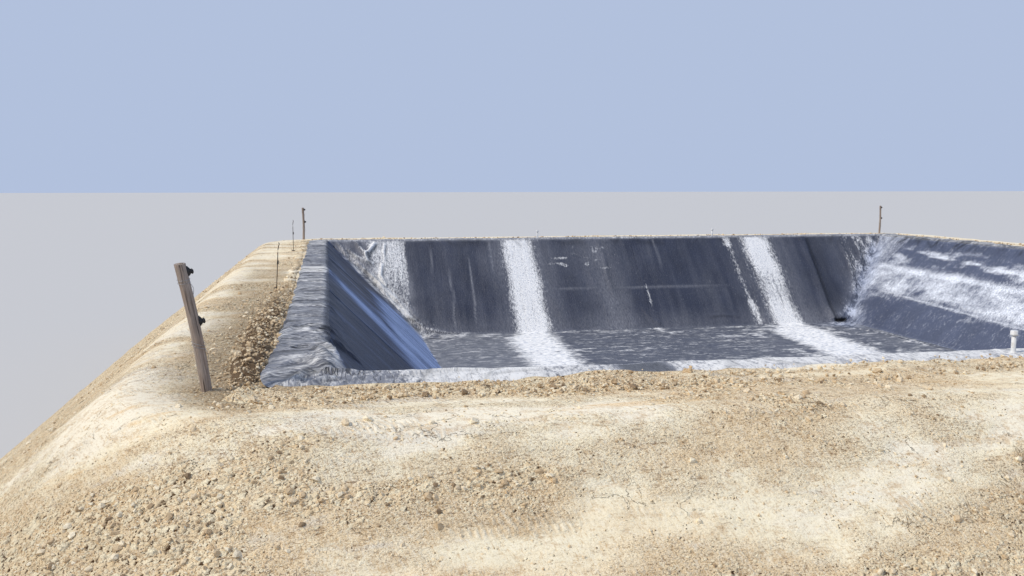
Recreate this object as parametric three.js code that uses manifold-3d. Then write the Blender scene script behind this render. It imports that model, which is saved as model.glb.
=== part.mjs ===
// Lined slurry pit: four compacted earth banks round a clay floor, with a dark membrane laid in strips
// over the floor, up the slopes and out over the crest, where its edge lies under a ridge of trench fill.
// Gas vents stand on the crest, with timber corner posts and slim tread-in stakes beside the lining.
// Millimetres, +Z up, +X to the right and +Y away from the near side. The origin is the middle of the base.

import * as THREE from 'three';
import { mergeVertices } from 'three/addons/utils/BufferGeometryUtils.js';
import { ConvexGeometry } from 'three/addons/geometries/ConvexGeometry.js';
import Module from 'manifold-3d';

const wasm = await Module();
wasm.setup();

// Basin: the inner crest rectangle, the depth from the crest to the lined floor, and the run of the slopes
const CREST_X = 17200;
const CREST_Y = 19100;
const DEPTH = 2400;
const SLOPE_RUN = 2400;

// Earthwork
const FORMATION = 300; // clay under the lined floor
const CREST_WIDTH = 1500; // level top of the bank, from the inner crest outwards
const OUTER_RUN = 3600; // run of the outside batter

// Lining, with its fleece underlay, as one layer
const LINER = 30;
const SHOULDER_RADIUS = 400; // where the lining turns over the crest
const SHOULDER_STEPS = 5;
const GAP = 0.3; // between faces that touch

// Strips of lining: seams across X on the near and far slopes and the floor, and along the two side slopes
const SEAMS_X = [-6740, -3170, 400, 3970, 7540];
const SEAMS_Y = [-2820, 750, 4320];
const RIGHT_SEAM_DOWN = 2050; // the right slope's one seam, measured down the slope from the crest

// The lining's outer edge on the crest, outwards from the inner crest
const APRON = { near: 420, right: 450, far: 450, left: 470 };

// Trench fill, as outward start, outward end and height above the bank
const FILL = {
  near: [300, 950, 130],
  right: [390, 780, 90],
  far: [390, 780, 90],
  left: [480, 700, 75],
};

// Gas vents
const VENT_X = { near: [-2180, 3100], far: [-2440, 3070] };
const VENT_OUT = { near: 245, far: 330 };
const VENT_HEIGHT = 215;
const STEM_RADIUS = 22;
const CAP_RADIUS = 36;
const CAP_HEIGHT = 46;
const CAP_SOCKET = 20;
const CAP_CHAMFER = 5;

// Posts, as place on the crest, height, foot radius, top radius and lean (sideways travel for each unit of height)
const POSTS = {
  near_left: { x: -9510, y: -9960, height: 1010, foot: 45, top: 41, lean: -0.165 },
  near_right: { x: 9510, y: -9960, height: 1000, foot: 42, top: 38, lean: 0.03 },
  far_left: { x: -9240, y: 10700, height: 920, foot: 34, top: 30, lean: -0.01 },
  far_right: { x: 9130, y: 10500, height: 900, foot: 30, top: 27, lean: 0 },
};
const INSULATOR_LEVELS = [0.55, 0.95]; // as a share of the post's height

// Tread-in stakes on the left crest
const STAKES = {
  front: { x: -9345, y: -2580, height: 720, lean: 0.06 },
  rear: { x: -9370, y: 5830, height: 750, lean: 0 },
};
const STAKE_RADIUS = 7;

// Levels and slope geometry worked out from the sizes above
const BANK_TOP = FORMATION + DEPTH;
const CREST_Z = BANK_TOP + LINER;
const FLOOR_Z = FORMATION + LINER;
const SLOPE_ANGLE = Math.atan2(DEPTH, SLOPE_RUN);
const SLOPE_LENGTH = Math.hypot(DEPTH, SLOPE_RUN);
const SHOULDER_OUT = SHOULDER_RADIUS * Math.tan(SLOPE_ANGLE / 2); // the shoulder arc's centre, outwards

const COLOURS = {
  clay: new THREE.MeshStandardMaterial({ color: 0xcdb892, roughness: 0.95, metalness: 0 }),
  fill: new THREE.MeshStandardMaterial({ color: 0xb8a07c, roughness: 1, metalness: 0 }),
  membrane: new THREE.MeshStandardMaterial({ color: 0x4b5063, roughness: 0.55, metalness: 0 }),
  dustyMembrane: new THREE.MeshStandardMaterial({ color: 0x92949f, roughness: 0.8, metalness: 0 }),
  pipe: new THREE.MeshStandardMaterial({ color: 0xe4e6e8, roughness: 0.4, metalness: 0 }),
  timber: new THREE.MeshStandardMaterial({ color: 0x8a7d70, roughness: 0.9, metalness: 0 }),
  steel: new THREE.MeshStandardMaterial({ color: 0x4a4038, roughness: 0.6, metalness: 0.6 }),
};

// Solids for joining and cutting

function toSolid(geometry) {
  const bare = geometry.clone();
  bare.deleteAttribute('normal');
  bare.deleteAttribute('uv');
  const merged = mergeVertices(bare, 1e-3);
  return new wasm.Manifold(new wasm.Mesh({
    numProp: 3,
    vertProperties: new Float32Array(merged.attributes.position.array),
    triVerts: new Uint32Array(merged.index.array),
  }));
}

function toGeometry(solid) {
  const mesh = solid.getMesh();
  const geometry = new THREE.BufferGeometry();
  geometry.setAttribute('position', new THREE.BufferAttribute(new Float32Array(mesh.vertProperties), 3));
  geometry.setIndex(new THREE.BufferAttribute(new Uint32Array(mesh.triVerts), 1));
  geometry.computeVertexNormals();
  return geometry;
}

function named(name, geometry, material) {
  const mesh = new THREE.Mesh(geometry, material);
  mesh.name = name;
  return mesh;
}

// The four sides. In a side's own frame +X runs along it, -Y points outwards and the pit's middle is the origin.
const SIDES = {
  near: { half: CREST_X / 2, away: CREST_Y / 2, turn: 0 },
  right: { half: CREST_Y / 2, away: CREST_X / 2, turn: Math.PI / 2 },
  far: { half: CREST_X / 2, away: CREST_Y / 2, turn: Math.PI },
  left: { half: CREST_Y / 2, away: CREST_X / 2, turn: -Math.PI / 2 },
};

// A bar along one side with the section given as (outward, up), mitred at both ends on the corner diagonals
function mitredBar(section, side) {
  const geometry = new THREE.ExtrudeGeometry(section, {
    depth: 1,
    bevelEnabled: false,
    curveSegments: SHOULDER_STEPS,
  });
  const position = geometry.attributes.position;
  for (let i = 0; i < position.count; i += 1) {
    const outward = position.getX(i);
    const end = 1 - 2 * position.getZ(i);
    position.setXYZ(i, end * (side.half + outward - GAP), -(side.away + outward), position.getY(i));
  }
  return geometry;
}

// A block that spans everything between two places along a side
function slice(from, to) {
  const reach = 2 * (CREST_X + CREST_Y);
  const block = new THREE.BoxGeometry(to - from - 2 * GAP, reach, reach);
  block.translate((from + to) / 2, 0, 0);
  return toSolid(block);
}

function polygon(points) {
  return new THREE.Shape(points.map(([outward, up]) => new THREE.Vector2(outward, up)));
}

// A point on the slope: how far down it from the crest, and how far below the lining's surface
function onSlope(down, under) {
  return [
    -down * Math.cos(SLOPE_ANGLE) + under * Math.sin(SLOPE_ANGLE),
    CREST_Z - down * Math.sin(SLOPE_ANGLE) - under * Math.cos(SLOPE_ANGLE),
  ];
}

// Earth banks: a clay body under the lining, with the outside batter rounded at the corners

function bankSection() {
  const radius = SHOULDER_RADIUS - LINER;
  const toe = -SLOPE_RUN + LINER * Math.tan(SLOPE_ANGLE / 2);
  const reach = CREST_WIDTH + 2 * OUTER_RUN;
  const section = new THREE.Shape();
  section.moveTo(toe, 0);
  section.lineTo(reach, 0);
  section.lineTo(reach, BANK_TOP);
  section.lineTo(SHOULDER_OUT, BANK_TOP);
  section.absarc(SHOULDER_OUT, CREST_Z - SHOULDER_RADIUS, radius, Math.PI / 2, Math.PI / 2 + SLOPE_ANGLE, false);
  section.lineTo(toe, FORMATION);
  section.closePath();
  return section;
}

function outsideBatter() {
  const cornerSteps = 10;
  const overrun = 100;
  const points = [];
  for (const up of [-overrun, BANK_TOP + overrun]) {
    const radius = CREST_WIDTH + (OUTER_RUN * (BANK_TOP - up)) / BANK_TOP;
    for (const [signX, signY, start] of [[1, 1, 0], [-1, 1, 1], [-1, -1, 2], [1, -1, 3]]) {
      for (let step = 0; step <= cornerSteps; step += 1) {
        const angle = (start + step / cornerSteps) * (Math.PI / 2);
        points.push(new THREE.Vector3(
          (signX * CREST_X) / 2 + radius * Math.cos(angle),
          (signY * CREST_Y) / 2 + radius * Math.sin(angle),
          up,
        ));
      }
    }
  }
  return new ConvexGeometry(points);
}

function bank(side, batter) {
  const turned = batter.clone();
  turned.rotateZ(-side.turn);
  return toGeometry(toSolid(mitredBar(bankSection(), side)).intersect(toSolid(turned)));
}

function formation() {
  const inset = SLOPE_RUN - LINER * Math.tan(SLOPE_ANGLE / 2) + GAP;
  const slab = new THREE.BoxGeometry(CREST_X - 2 * inset, CREST_Y - 2 * inset, FORMATION);
  slab.translate(0, 0, FORMATION / 2);
  return slab;
}

// Lining

// The layer on one slope, between two distances down it
function slopeLayer(side, from, to) {
  const under = LINER - GAP;
  return mitredBar(polygon([
    onSlope(to, 0),
    onSlope(to, under),
    onSlope(from, under),
    onSlope(from, 0),
  ].reverse()), side);
}

const SHOULDER_DOWN = SHOULDER_OUT; // the shoulder arc meets the slope as far down as it meets the top outwards

// One slope's strips, from the seams along it; the first and last are the corner pieces
function slopeStrips(side, seams) {
  const whole = toSolid(slopeLayer(side, SHOULDER_DOWN + GAP, SLOPE_LENGTH));
  const ends = [-side.half, ...seams, side.half];
  return ends.slice(1).map((to, i) => toGeometry(whole.intersect(slice(ends[i], to))));
}

function floorStrip(from, to) {
  const depth = CREST_Y - 2 * SLOPE_RUN - 2 * GAP;
  const strip = new THREE.BoxGeometry(to - from - 2 * GAP, depth, LINER - GAP);
  strip.translate((from + to) / 2, 0, FLOOR_Z - (LINER - GAP) / 2);
  return strip;
}

// The lining over the shoulder and out on the crest
function apron(side, edge) {
  const centre = CREST_Z - SHOULDER_RADIUS;
  const under = SHOULDER_RADIUS - LINER + GAP;
  const section = new THREE.Shape();
  section.moveTo(edge, CREST_Z);
  section.lineTo(SHOULDER_OUT, CREST_Z);
  section.absarc(SHOULDER_OUT, centre, SHOULDER_RADIUS, Math.PI / 2, Math.PI / 2 + SLOPE_ANGLE, false);
  section.absarc(SHOULDER_OUT, centre, under, Math.PI / 2 + SLOPE_ANGLE, Math.PI / 2, true);
  section.lineTo(edge, BANK_TOP + GAP);
  section.closePath();
  return mitredBar(section, side);
}

// A low ridge of trench fill, which laps over the lining's edge where it starts inside it
function trenchFill(side, edge, [start, end, height]) {
  const top = BANK_TOP + height;
  const rise = (end - start) * 0.16;
  const foot = BANK_TOP + GAP;
  const lap = start < edge ? [[edge + GAP, foot], [edge + GAP, CREST_Z + GAP], [start, CREST_Z + GAP]] : [[start, foot]];
  return mitredBar(polygon([
    [end, foot],
    [end - 1.5 * rise, top - 0.12 * height],
    [(start + end) / 2, top],
    [start + rise, top - 0.2 * height],
    ...lap.reverse(),
  ]), side);
}

// Crest fittings

function ventStem() {
  const height = VENT_HEIGHT - CAP_HEIGHT + CAP_SOCKET - GAP;
  const stem = new THREE.CylinderGeometry(STEM_RADIUS, STEM_RADIUS, height, 24);
  stem.rotateX(Math.PI / 2);
  stem.translate(0, 0, height / 2);
  return stem;
}

function ventCap() {
  const skirt = VENT_HEIGHT - CAP_HEIGHT;
  const socket = STEM_RADIUS + GAP;
  const cap = new THREE.LatheGeometry([
    new THREE.Vector2(0, skirt + CAP_SOCKET),
    new THREE.Vector2(socket, skirt + CAP_SOCKET),
    new THREE.Vector2(socket, skirt),
    new THREE.Vector2(CAP_RADIUS, skirt),
    new THREE.Vector2(CAP_RADIUS, VENT_HEIGHT - CAP_CHAMFER),
    new THREE.Vector2(CAP_RADIUS - CAP_CHAMFER, VENT_HEIGHT),
    new THREE.Vector2(0, VENT_HEIGHT),
  ], 24);
  cap.rotateX(Math.PI / 2);
  return toGeometry(toSolid(cap));
}

// Leans a shape that stands on the ground, so that its foot stays flat
function lean(geometry, amount) {
  geometry.applyMatrix4(new THREE.Matrix4().makeShear(0, 0, 0, 0, amount, 0));
  return geometry;
}

// A screw-in fence insulator: a short shank out of the post with a round head
function insulator(from, up) {
  const shank = new THREE.CylinderGeometry(7, 7, 60, 8);
  shank.rotateZ(Math.PI / 2);
  shank.translate(from + 15, 0, up);
  const head = new THREE.CylinderGeometry(20, 20, 26, 12);
  head.rotateX(Math.PI / 2);
  head.translate(from + 48, 0, up);
  return toSolid(shank).add(toSolid(head));
}

function cornerPost({ height, foot, top, lean: amount }) {
  const timber = new THREE.CylinderGeometry(top, foot, height, 12);
  timber.rotateX(Math.PI / 2);
  timber.translate(0, 0, height / 2);
  let solid = toSolid(timber);
  for (const level of INSULATOR_LEVELS) {
    solid = solid.add(insulator(top, level * height));
  }
  return lean(toGeometry(solid), amount);
}

function stake({ height, lean: amount }) {
  const rod = new THREE.CylinderGeometry(STAKE_RADIUS, STAKE_RADIUS, height, 8);
  rod.rotateX(Math.PI / 2);
  rod.translate(0, 0, height / 2);
  const tread = new THREE.BoxGeometry(80, 24, 12);
  tread.translate(-20, 0, 12);
  const clip = new THREE.CylinderGeometry(14, 14, 50, 8);
  clip.rotateX(Math.PI / 2);
  clip.translate(0, 0, 0.58 * height);
  const hook = new THREE.CylinderGeometry(12, 12, 30, 8);
  hook.rotateX(Math.PI / 2);
  hook.translate(0, 0, height - 10);
  const solid = toSolid(rod).add(toSolid(tread)).add(toSolid(clip)).add(toSolid(hook));
  return lean(toGeometry(solid), amount);
}

// Assembly

const pit = new THREE.Group();
const sideGroups = {};
for (const [sideName, side] of Object.entries(SIDES)) {
  const group = new THREE.Group();
  group.rotation.z = side.turn;
  sideGroups[sideName] = group;
  pit.add(group);
}

const batter = outsideBatter();
pit.add(named('floor_formation', formation(), COLOURS.clay));
for (const [sideName, side] of Object.entries(SIDES)) {
  const group = sideGroups[sideName];
  group.add(named(`${sideName}_bank`, bank(side, batter), COLOURS.clay));
  group.add(named(`${sideName}_apron`, apron(side, APRON[sideName]), COLOURS.dustyMembrane));
  group.add(named(`${sideName}_trench_fill`, trenchFill(side, APRON[sideName], FILL[sideName]), COLOURS.fill));
}

// Floor strips: the outer two reach the foot of the side slopes
const floorHalf = CREST_X / 2 - SLOPE_RUN;
const floorEnds = [-floorHalf, ...SEAMS_X.filter((x) => Math.abs(x) < floorHalf), floorHalf];
floorEnds.slice(1).forEach((to, i) => {
  pit.add(named(`floor_strip_${i + 1}`, floorStrip(floorEnds[i], to), COLOURS.membrane));
});

// Near and far slopes, numbered from the left; a side's own +X points left on the far one
for (const sideName of ['near', 'far']) {
  const sign = sideName === 'far' ? -1 : 1;
  const strips = slopeStrips(SIDES[sideName], SEAMS_X.map((x) => sign * x).sort((a, b) => a - b));
  if (sign < 0) strips.reverse();
  strips.forEach((strip, i) => {
    const corner = { 0: 'left', [strips.length - 1]: 'right' }[i];
    const name = corner ? `${sideName}_${corner}_corner_piece` : `${sideName}_slope_strip_${i}`;
    sideGroups[sideName].add(named(name, strip, COLOURS.membrane));
  });
}

// Left slope, numbered from the near end, where a side's own +X points nearer
const leftStrips = slopeStrips(SIDES.left, SEAMS_Y.map((y) => -y).sort((a, b) => a - b)).reverse();
leftStrips.forEach((strip, i) => {
  sideGroups.left.add(named(`left_slope_strip_${i + 1}`, strip, COLOURS.membrane));
});

// Right slope: two long strips, one above the other
sideGroups.right.add(named(
  'right_slope_upper_strip',
  slopeLayer(SIDES.right, SHOULDER_DOWN + GAP, RIGHT_SEAM_DOWN - GAP),
  COLOURS.membrane,
));
sideGroups.right.add(named(
  'right_slope_lower_strip',
  slopeLayer(SIDES.right, RIGHT_SEAM_DOWN + GAP, SLOPE_LENGTH),
  COLOURS.membrane,
));

// Gas vents on the near and far crests
for (const [sideName, sign] of [['near', -1], ['far', 1]]) {
  VENT_X[sideName].forEach((x, i) => {
    const label = `${sideName}_${i === 0 ? 'left' : 'right'}`;
    const vent = new THREE.Group();
    vent.position.set(x, sign * (CREST_Y / 2 + VENT_OUT[sideName]), CREST_Z + GAP);
    vent.add(named(`${label}_vent_stem`, ventStem(), COLOURS.pipe));
    vent.add(named(`${label}_vent_cap`, ventCap(), COLOURS.pipe));
    pit.add(vent);
  });
}

// Posts and stakes on the crest
for (const [place, post] of Object.entries(POSTS)) {
  const mesh = named(`${place}_post`, cornerPost(post), COLOURS.timber);
  mesh.position.set(post.x, post.y, BANK_TOP + GAP);
  pit.add(mesh);
}
for (const [place, peg] of Object.entries(STAKES)) {
  const mesh = named(`left_${place}_stake`, stake(peg), COLOURS.steel);
  mesh.position.set(peg.x, peg.y, BANK_TOP + GAP);
  pit.add(mesh);
}

export default pit;
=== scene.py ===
"""Looks of the lined slurry pit: wrinkled membrane with bands of dust, stony banks, posts, stakes and vents.

Metres, in the frame's axes: +X to the right, +Y away from the near side, +Z up.
The origin is the middle of the base.
"""

import math

import bmesh
import bpy
import numpy as np
from mathutils import Matrix, Vector


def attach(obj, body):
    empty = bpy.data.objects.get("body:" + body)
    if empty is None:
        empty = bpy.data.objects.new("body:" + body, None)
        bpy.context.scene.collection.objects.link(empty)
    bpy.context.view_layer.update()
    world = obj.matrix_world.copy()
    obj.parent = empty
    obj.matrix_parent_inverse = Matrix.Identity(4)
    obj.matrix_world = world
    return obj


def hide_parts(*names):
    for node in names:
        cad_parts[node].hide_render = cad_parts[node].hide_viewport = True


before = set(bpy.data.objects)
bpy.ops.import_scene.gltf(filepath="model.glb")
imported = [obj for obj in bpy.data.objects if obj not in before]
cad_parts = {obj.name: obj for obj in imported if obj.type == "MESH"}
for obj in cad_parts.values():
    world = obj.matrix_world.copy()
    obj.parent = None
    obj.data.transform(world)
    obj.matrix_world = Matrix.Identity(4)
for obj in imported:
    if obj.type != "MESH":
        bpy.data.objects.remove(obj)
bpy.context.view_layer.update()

# Basin: half sizes of the inner crest, levels, and the rounding of its corners, crest and foot
HALF = {"near": 8.6, "far": 8.6, "left": 9.55, "right": 9.55}
AWAY = {"near": 9.55, "far": 9.55, "left": 8.6, "right": 8.6}
HALF_X, HALF_Y = HALF["near"], HALF["left"]
CREST_Z, FLOOR_Z, BANK_TOP = 2.73, 0.33, 2.70
SLOPE_RUN = 2.4
CORNER_RADIUS = 0.22
CORNER_POWER = 4
VALLEY_SOFTNESS = 0.12
SHOULDER_RADIUS = 0.16
TOE_RADIUS = 0.2
SLOPE_SIN = math.sin(math.pi / 4)
SHOULDER_OUT = SHOULDER_RADIUS * math.tan(math.pi / 8)
SHOULDER_END = SHOULDER_OUT - SHOULDER_RADIUS * SLOPE_SIN  # outward distance where the slope starts
TOE_CENTRE = -SLOPE_RUN - TOE_RADIUS * math.tan(math.pi / 8)

# Seams, flaps and edges of the lining
SEAMS_X = [-6.74, -3.17, 0.4, 3.97, 7.54]
SEAMS_Y = [-2.82, 0.75, 4.32]
RIGHT_SEAM_OUT = -1.45
FLAP, FLAP_LIFT, FLAP_SKIRT, FLAP_TUCK = 0.11, 0.007, -0.002, 0.004
FLAP_SHARES = np.array([0.3, 0.65, 1.0])
APRON_EDGE = {"near": 0.42, "right": 0.45, "far": 0.45, "left": 0.47}
NEAR_LEFT_EDGE = 0.525
EDGE_TUCK = 0.028

# Earthwork, which lies a little below the lining as far out as UNDER_LINING
CREST_WIDTH = 1.5
TOE_OUT = 5.1
CREST_SOFTNESS = 0.35
UNDER_LINING, LINING_COVER = 0.25, 0.09
BATTER_FALL = BANK_TOP / (TOE_OUT - CREST_WIDTH)

# Grid steps, wider where little shows
LINING_STEP, FLOOR_STEP, HIDDEN_STEP = 0.05, 0.066, 0.09
APRON_STEP, HIDDEN_APRON_STEP = 0.025, 0.045
EARTH_STEP, FAR_EARTH_STEP = 0.047, 0.16
FILL_STEP, HIDDEN_FILL_STEP = 0.034, 0.07


# Noise and other shapes of a number

LATTICE = np.random.default_rng(11).uniform(-1, 1, (512, 512))


def noise(x, y, seed=0.0):
    """Smooth noise from -1 to 1, with cells one unit across."""
    x, y = np.broadcast_arrays(x + 37.37 * seed, y + 91.7 * seed)
    low_x, low_y = np.floor(x), np.floor(y)
    part_x, part_y = x - low_x, y - low_y
    share_x = part_x * part_x * (3 - 2 * part_x)
    share_y = part_y * part_y * (3 - 2 * part_y)
    i, j = low_x.astype(int) & 511, low_y.astype(int) & 511
    next_i, next_j = (i + 1) & 511, (j + 1) & 511
    near = LATTICE[i, j] + share_x * (LATTICE[next_i, j] - LATTICE[i, j])
    far = LATTICE[i, next_j] + share_x * (LATTICE[next_i, next_j] - LATTICE[i, next_j])
    return near + share_y * (far - near)


def fractal(x, y, seed=0.0, octaves=4, gain=0.5):
    """Several octaves of noise, each turned a little, from about -1 to 1."""
    total, strength, reach = 0.0, 1.0, 0.0
    for octave in range(octaves):
        total = total + strength * noise(x, y, seed + 7.3 * octave)
        reach += strength
        strength *= gain
        x, y = 1.62 * x + 1.18 * y + 3.1, 1.62 * y - 1.18 * x + 5.7
    return total / reach


def ridge(u, v, seed):
    """Sharp wandering ridges, from 0 to 1."""
    return (1 - np.abs(noise(u, v, seed))) ** 2


def smoothstep(low, high, value):
    t = np.clip((value - low) / (high - low), 0, 1)
    return t * t * (3 - 2 * t)


def band(value, low, high, soft):
    """1 between two places and 0 outside them, with soft edges."""
    return smoothstep(low - soft, low + soft, value) * (1 - smoothstep(high - soft, high + soft, value))


def bell(value, width, power=2):
    """1 where the value is 0, and less on both sides."""
    return np.exp(-((value / width) ** power))


def most(*shares):
    return np.maximum.reduce(shares)


def unit(vectors):
    return vectors / np.linalg.norm(vectors, axis=-1, keepdims=True)


# The basin's plan

def squareness(plain):
    """Power of a corner's arc by the plain distance out: squarish at the lining, rounder down the batter."""
    return CORNER_POWER - 1.65 * smoothstep(0.65, 1.3, plain) - 0.23 * smoothstep(1.3, 4.0, plain)


def arc_reach(across, along, power):
    """Distance out in an arc of this power: 2 for a round one, and squarer above that."""
    return (across**power + along**power) ** (1 / power)


def outward(x, y):
    """Signed distance out from the inner crest, with rounded corners and softened valleys."""
    across = np.abs(x) - HALF_X + CORNER_RADIUS
    along = np.abs(y) - HALF_Y + CORNER_RADIUS
    soft = VALLEY_SOFTNESS * smoothstep(0.0, 0.6, -np.maximum(across, along))
    inside = 0.5 * (across + along + np.sqrt((across - along) ** 2 + soft**2))
    across, along = np.maximum(across, 0), np.maximum(along, 0)
    plain = arc_reach(across, along, CORNER_POWER) - CORNER_RADIUS
    return arc_reach(across, along, squareness(plain)) + np.minimum(inside, 0) - CORNER_RADIUS


def contour_end(side, out):
    """Half the length of a side's contour at an outward distance, from its middle to the corner's diagonal."""
    straight = HALF[side] + np.minimum(out, -CORNER_RADIUS)
    return straight + np.maximum(CORNER_RADIUS + out, 0) * math.pi / 4


def contour(side, run, out):
    """Plan position at a run along a side's contour, which turns the corner in an arc."""
    straight = HALF[side] + np.minimum(out, -CORNER_RADIUS)
    radius = np.maximum(CORNER_RADIUS + out, 1e-6)
    bend = np.clip((np.abs(run) - straight) / radius, 0, math.pi / 4)
    bend = np.where(CORNER_RADIUS + out > 0, bend, 0)
    sine, cosine, plain = np.sin(bend), np.cos(bend), out
    for _ in range(8):
        reach = radius / arc_reach(sine, cosine, squareness(plain))
        plain = reach * arc_reach(sine, cosine, CORNER_POWER) - CORNER_RADIUS
    u = np.copysign(np.minimum(np.abs(run), straight) + reach * sine, run)
    v = AWAY[side] + out - radius + reach * cosine
    return {"near": (u, -v), "right": (v, u), "far": (-u, v), "left": (-v, -u)}[side]


def lining_level(out):
    """Height of the lining's plain surface at an outward distance."""
    arc = CREST_Z - SHOULDER_RADIUS + np.sqrt(np.maximum(SHOULDER_RADIUS**2 - (out - SHOULDER_OUT) ** 2, 0))
    foot = FLOOR_Z + TOE_RADIUS - np.sqrt(np.maximum(TOE_RADIUS**2 - (out - TOE_CENTRE) ** 2, 0))
    ends = [TOE_CENTRE, TOE_CENTRE + TOE_RADIUS * SLOPE_SIN, SHOULDER_END, SHOULDER_OUT]
    return np.select([out <= end for end in ends], [FLOOR_Z, foot, CREST_Z + out, arc], CREST_Z)


def down_the_section(out):
    """Distance along the lining from the shoulder's start: negative on the crest, positive down the slope."""
    turn = SHOULDER_RADIUS * math.pi / 4
    on_arc = SHOULDER_RADIUS * np.arcsin(np.clip((SHOULDER_OUT - out) / SHOULDER_RADIUS, 0, SLOPE_SIN))
    on_slope = turn + (SHOULDER_END - out) / SLOPE_SIN
    on_floor = turn + (SHOULDER_END + SLOPE_RUN) / SLOPE_SIN + (-SLOPE_RUN - out)
    places = [out < -SLOPE_RUN, out < SHOULDER_END, out > SHOULDER_OUT]
    return np.select(places, [on_floor, on_slope, SHOULDER_OUT - out], on_arc)


class Spot:
    """What the lining's folds and dust go by at places in plan: the distances out and down, the runs along the
    end slopes and along the side slopes, the share that is a side slope, how near an outer corner is, and how
    far to the side of a valley the place lies."""

    def __init__(self, x, y):
        self.x, self.y, self.out = x, y, outward(x, y)
        self.down = down_the_section(self.out)
        corner_x = np.maximum(np.abs(x) - (HALF_X - CORNER_RADIUS), 0)
        corner_y = np.maximum(np.abs(y) - (HALF_Y - CORNER_RADIUS), 0)
        turn = np.arctan2(corner_x, corner_y)
        fan = CORNER_RADIUS + 0.45
        run_x = np.sign(x) * (np.minimum(np.abs(x), HALF_X - CORNER_RADIUS) + turn * fan)
        run_y = np.sign(y) * (np.minimum(np.abs(y), HALF_Y - CORNER_RADIUS)
                              + np.where(corner_x > 0, math.pi / 2 - turn, 0) * fan)
        self.run_x = np.where(corner_y > 0, run_x, x)
        self.run_y = np.where(corner_x > 0, run_y, y)
        past_x, past_y = np.abs(x) - HALF_X, np.abs(y) - HALF_Y
        self.sideways = smoothstep(-0.12, 0.12, past_x - past_y)
        self.corner = smoothstep(-0.7, 0.1, np.minimum(past_x, past_y))
        self.valley = (past_x - past_y) * SLOPE_SIN

    def by_side(self, pattern, seed, ends_share=1.0):
        """A pattern that runs along each slope, blended at the valleys, with each slope's own seed."""
        ends = pattern(self.run_x, self.down, seed + 6 * (self.y > 0)) * (1 - self.sideways)
        sides = pattern(self.run_y, self.down, seed + 20 + 6 * (self.x > 0)) * self.sideways
        return ends_share * ends + sides


def near_left_corner(x, y, reach):
    return np.exp(-(((x + HALF_X) ** 2 + (y + HALF_Y) ** 2) / reach**2))


# Folds of the lining

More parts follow.
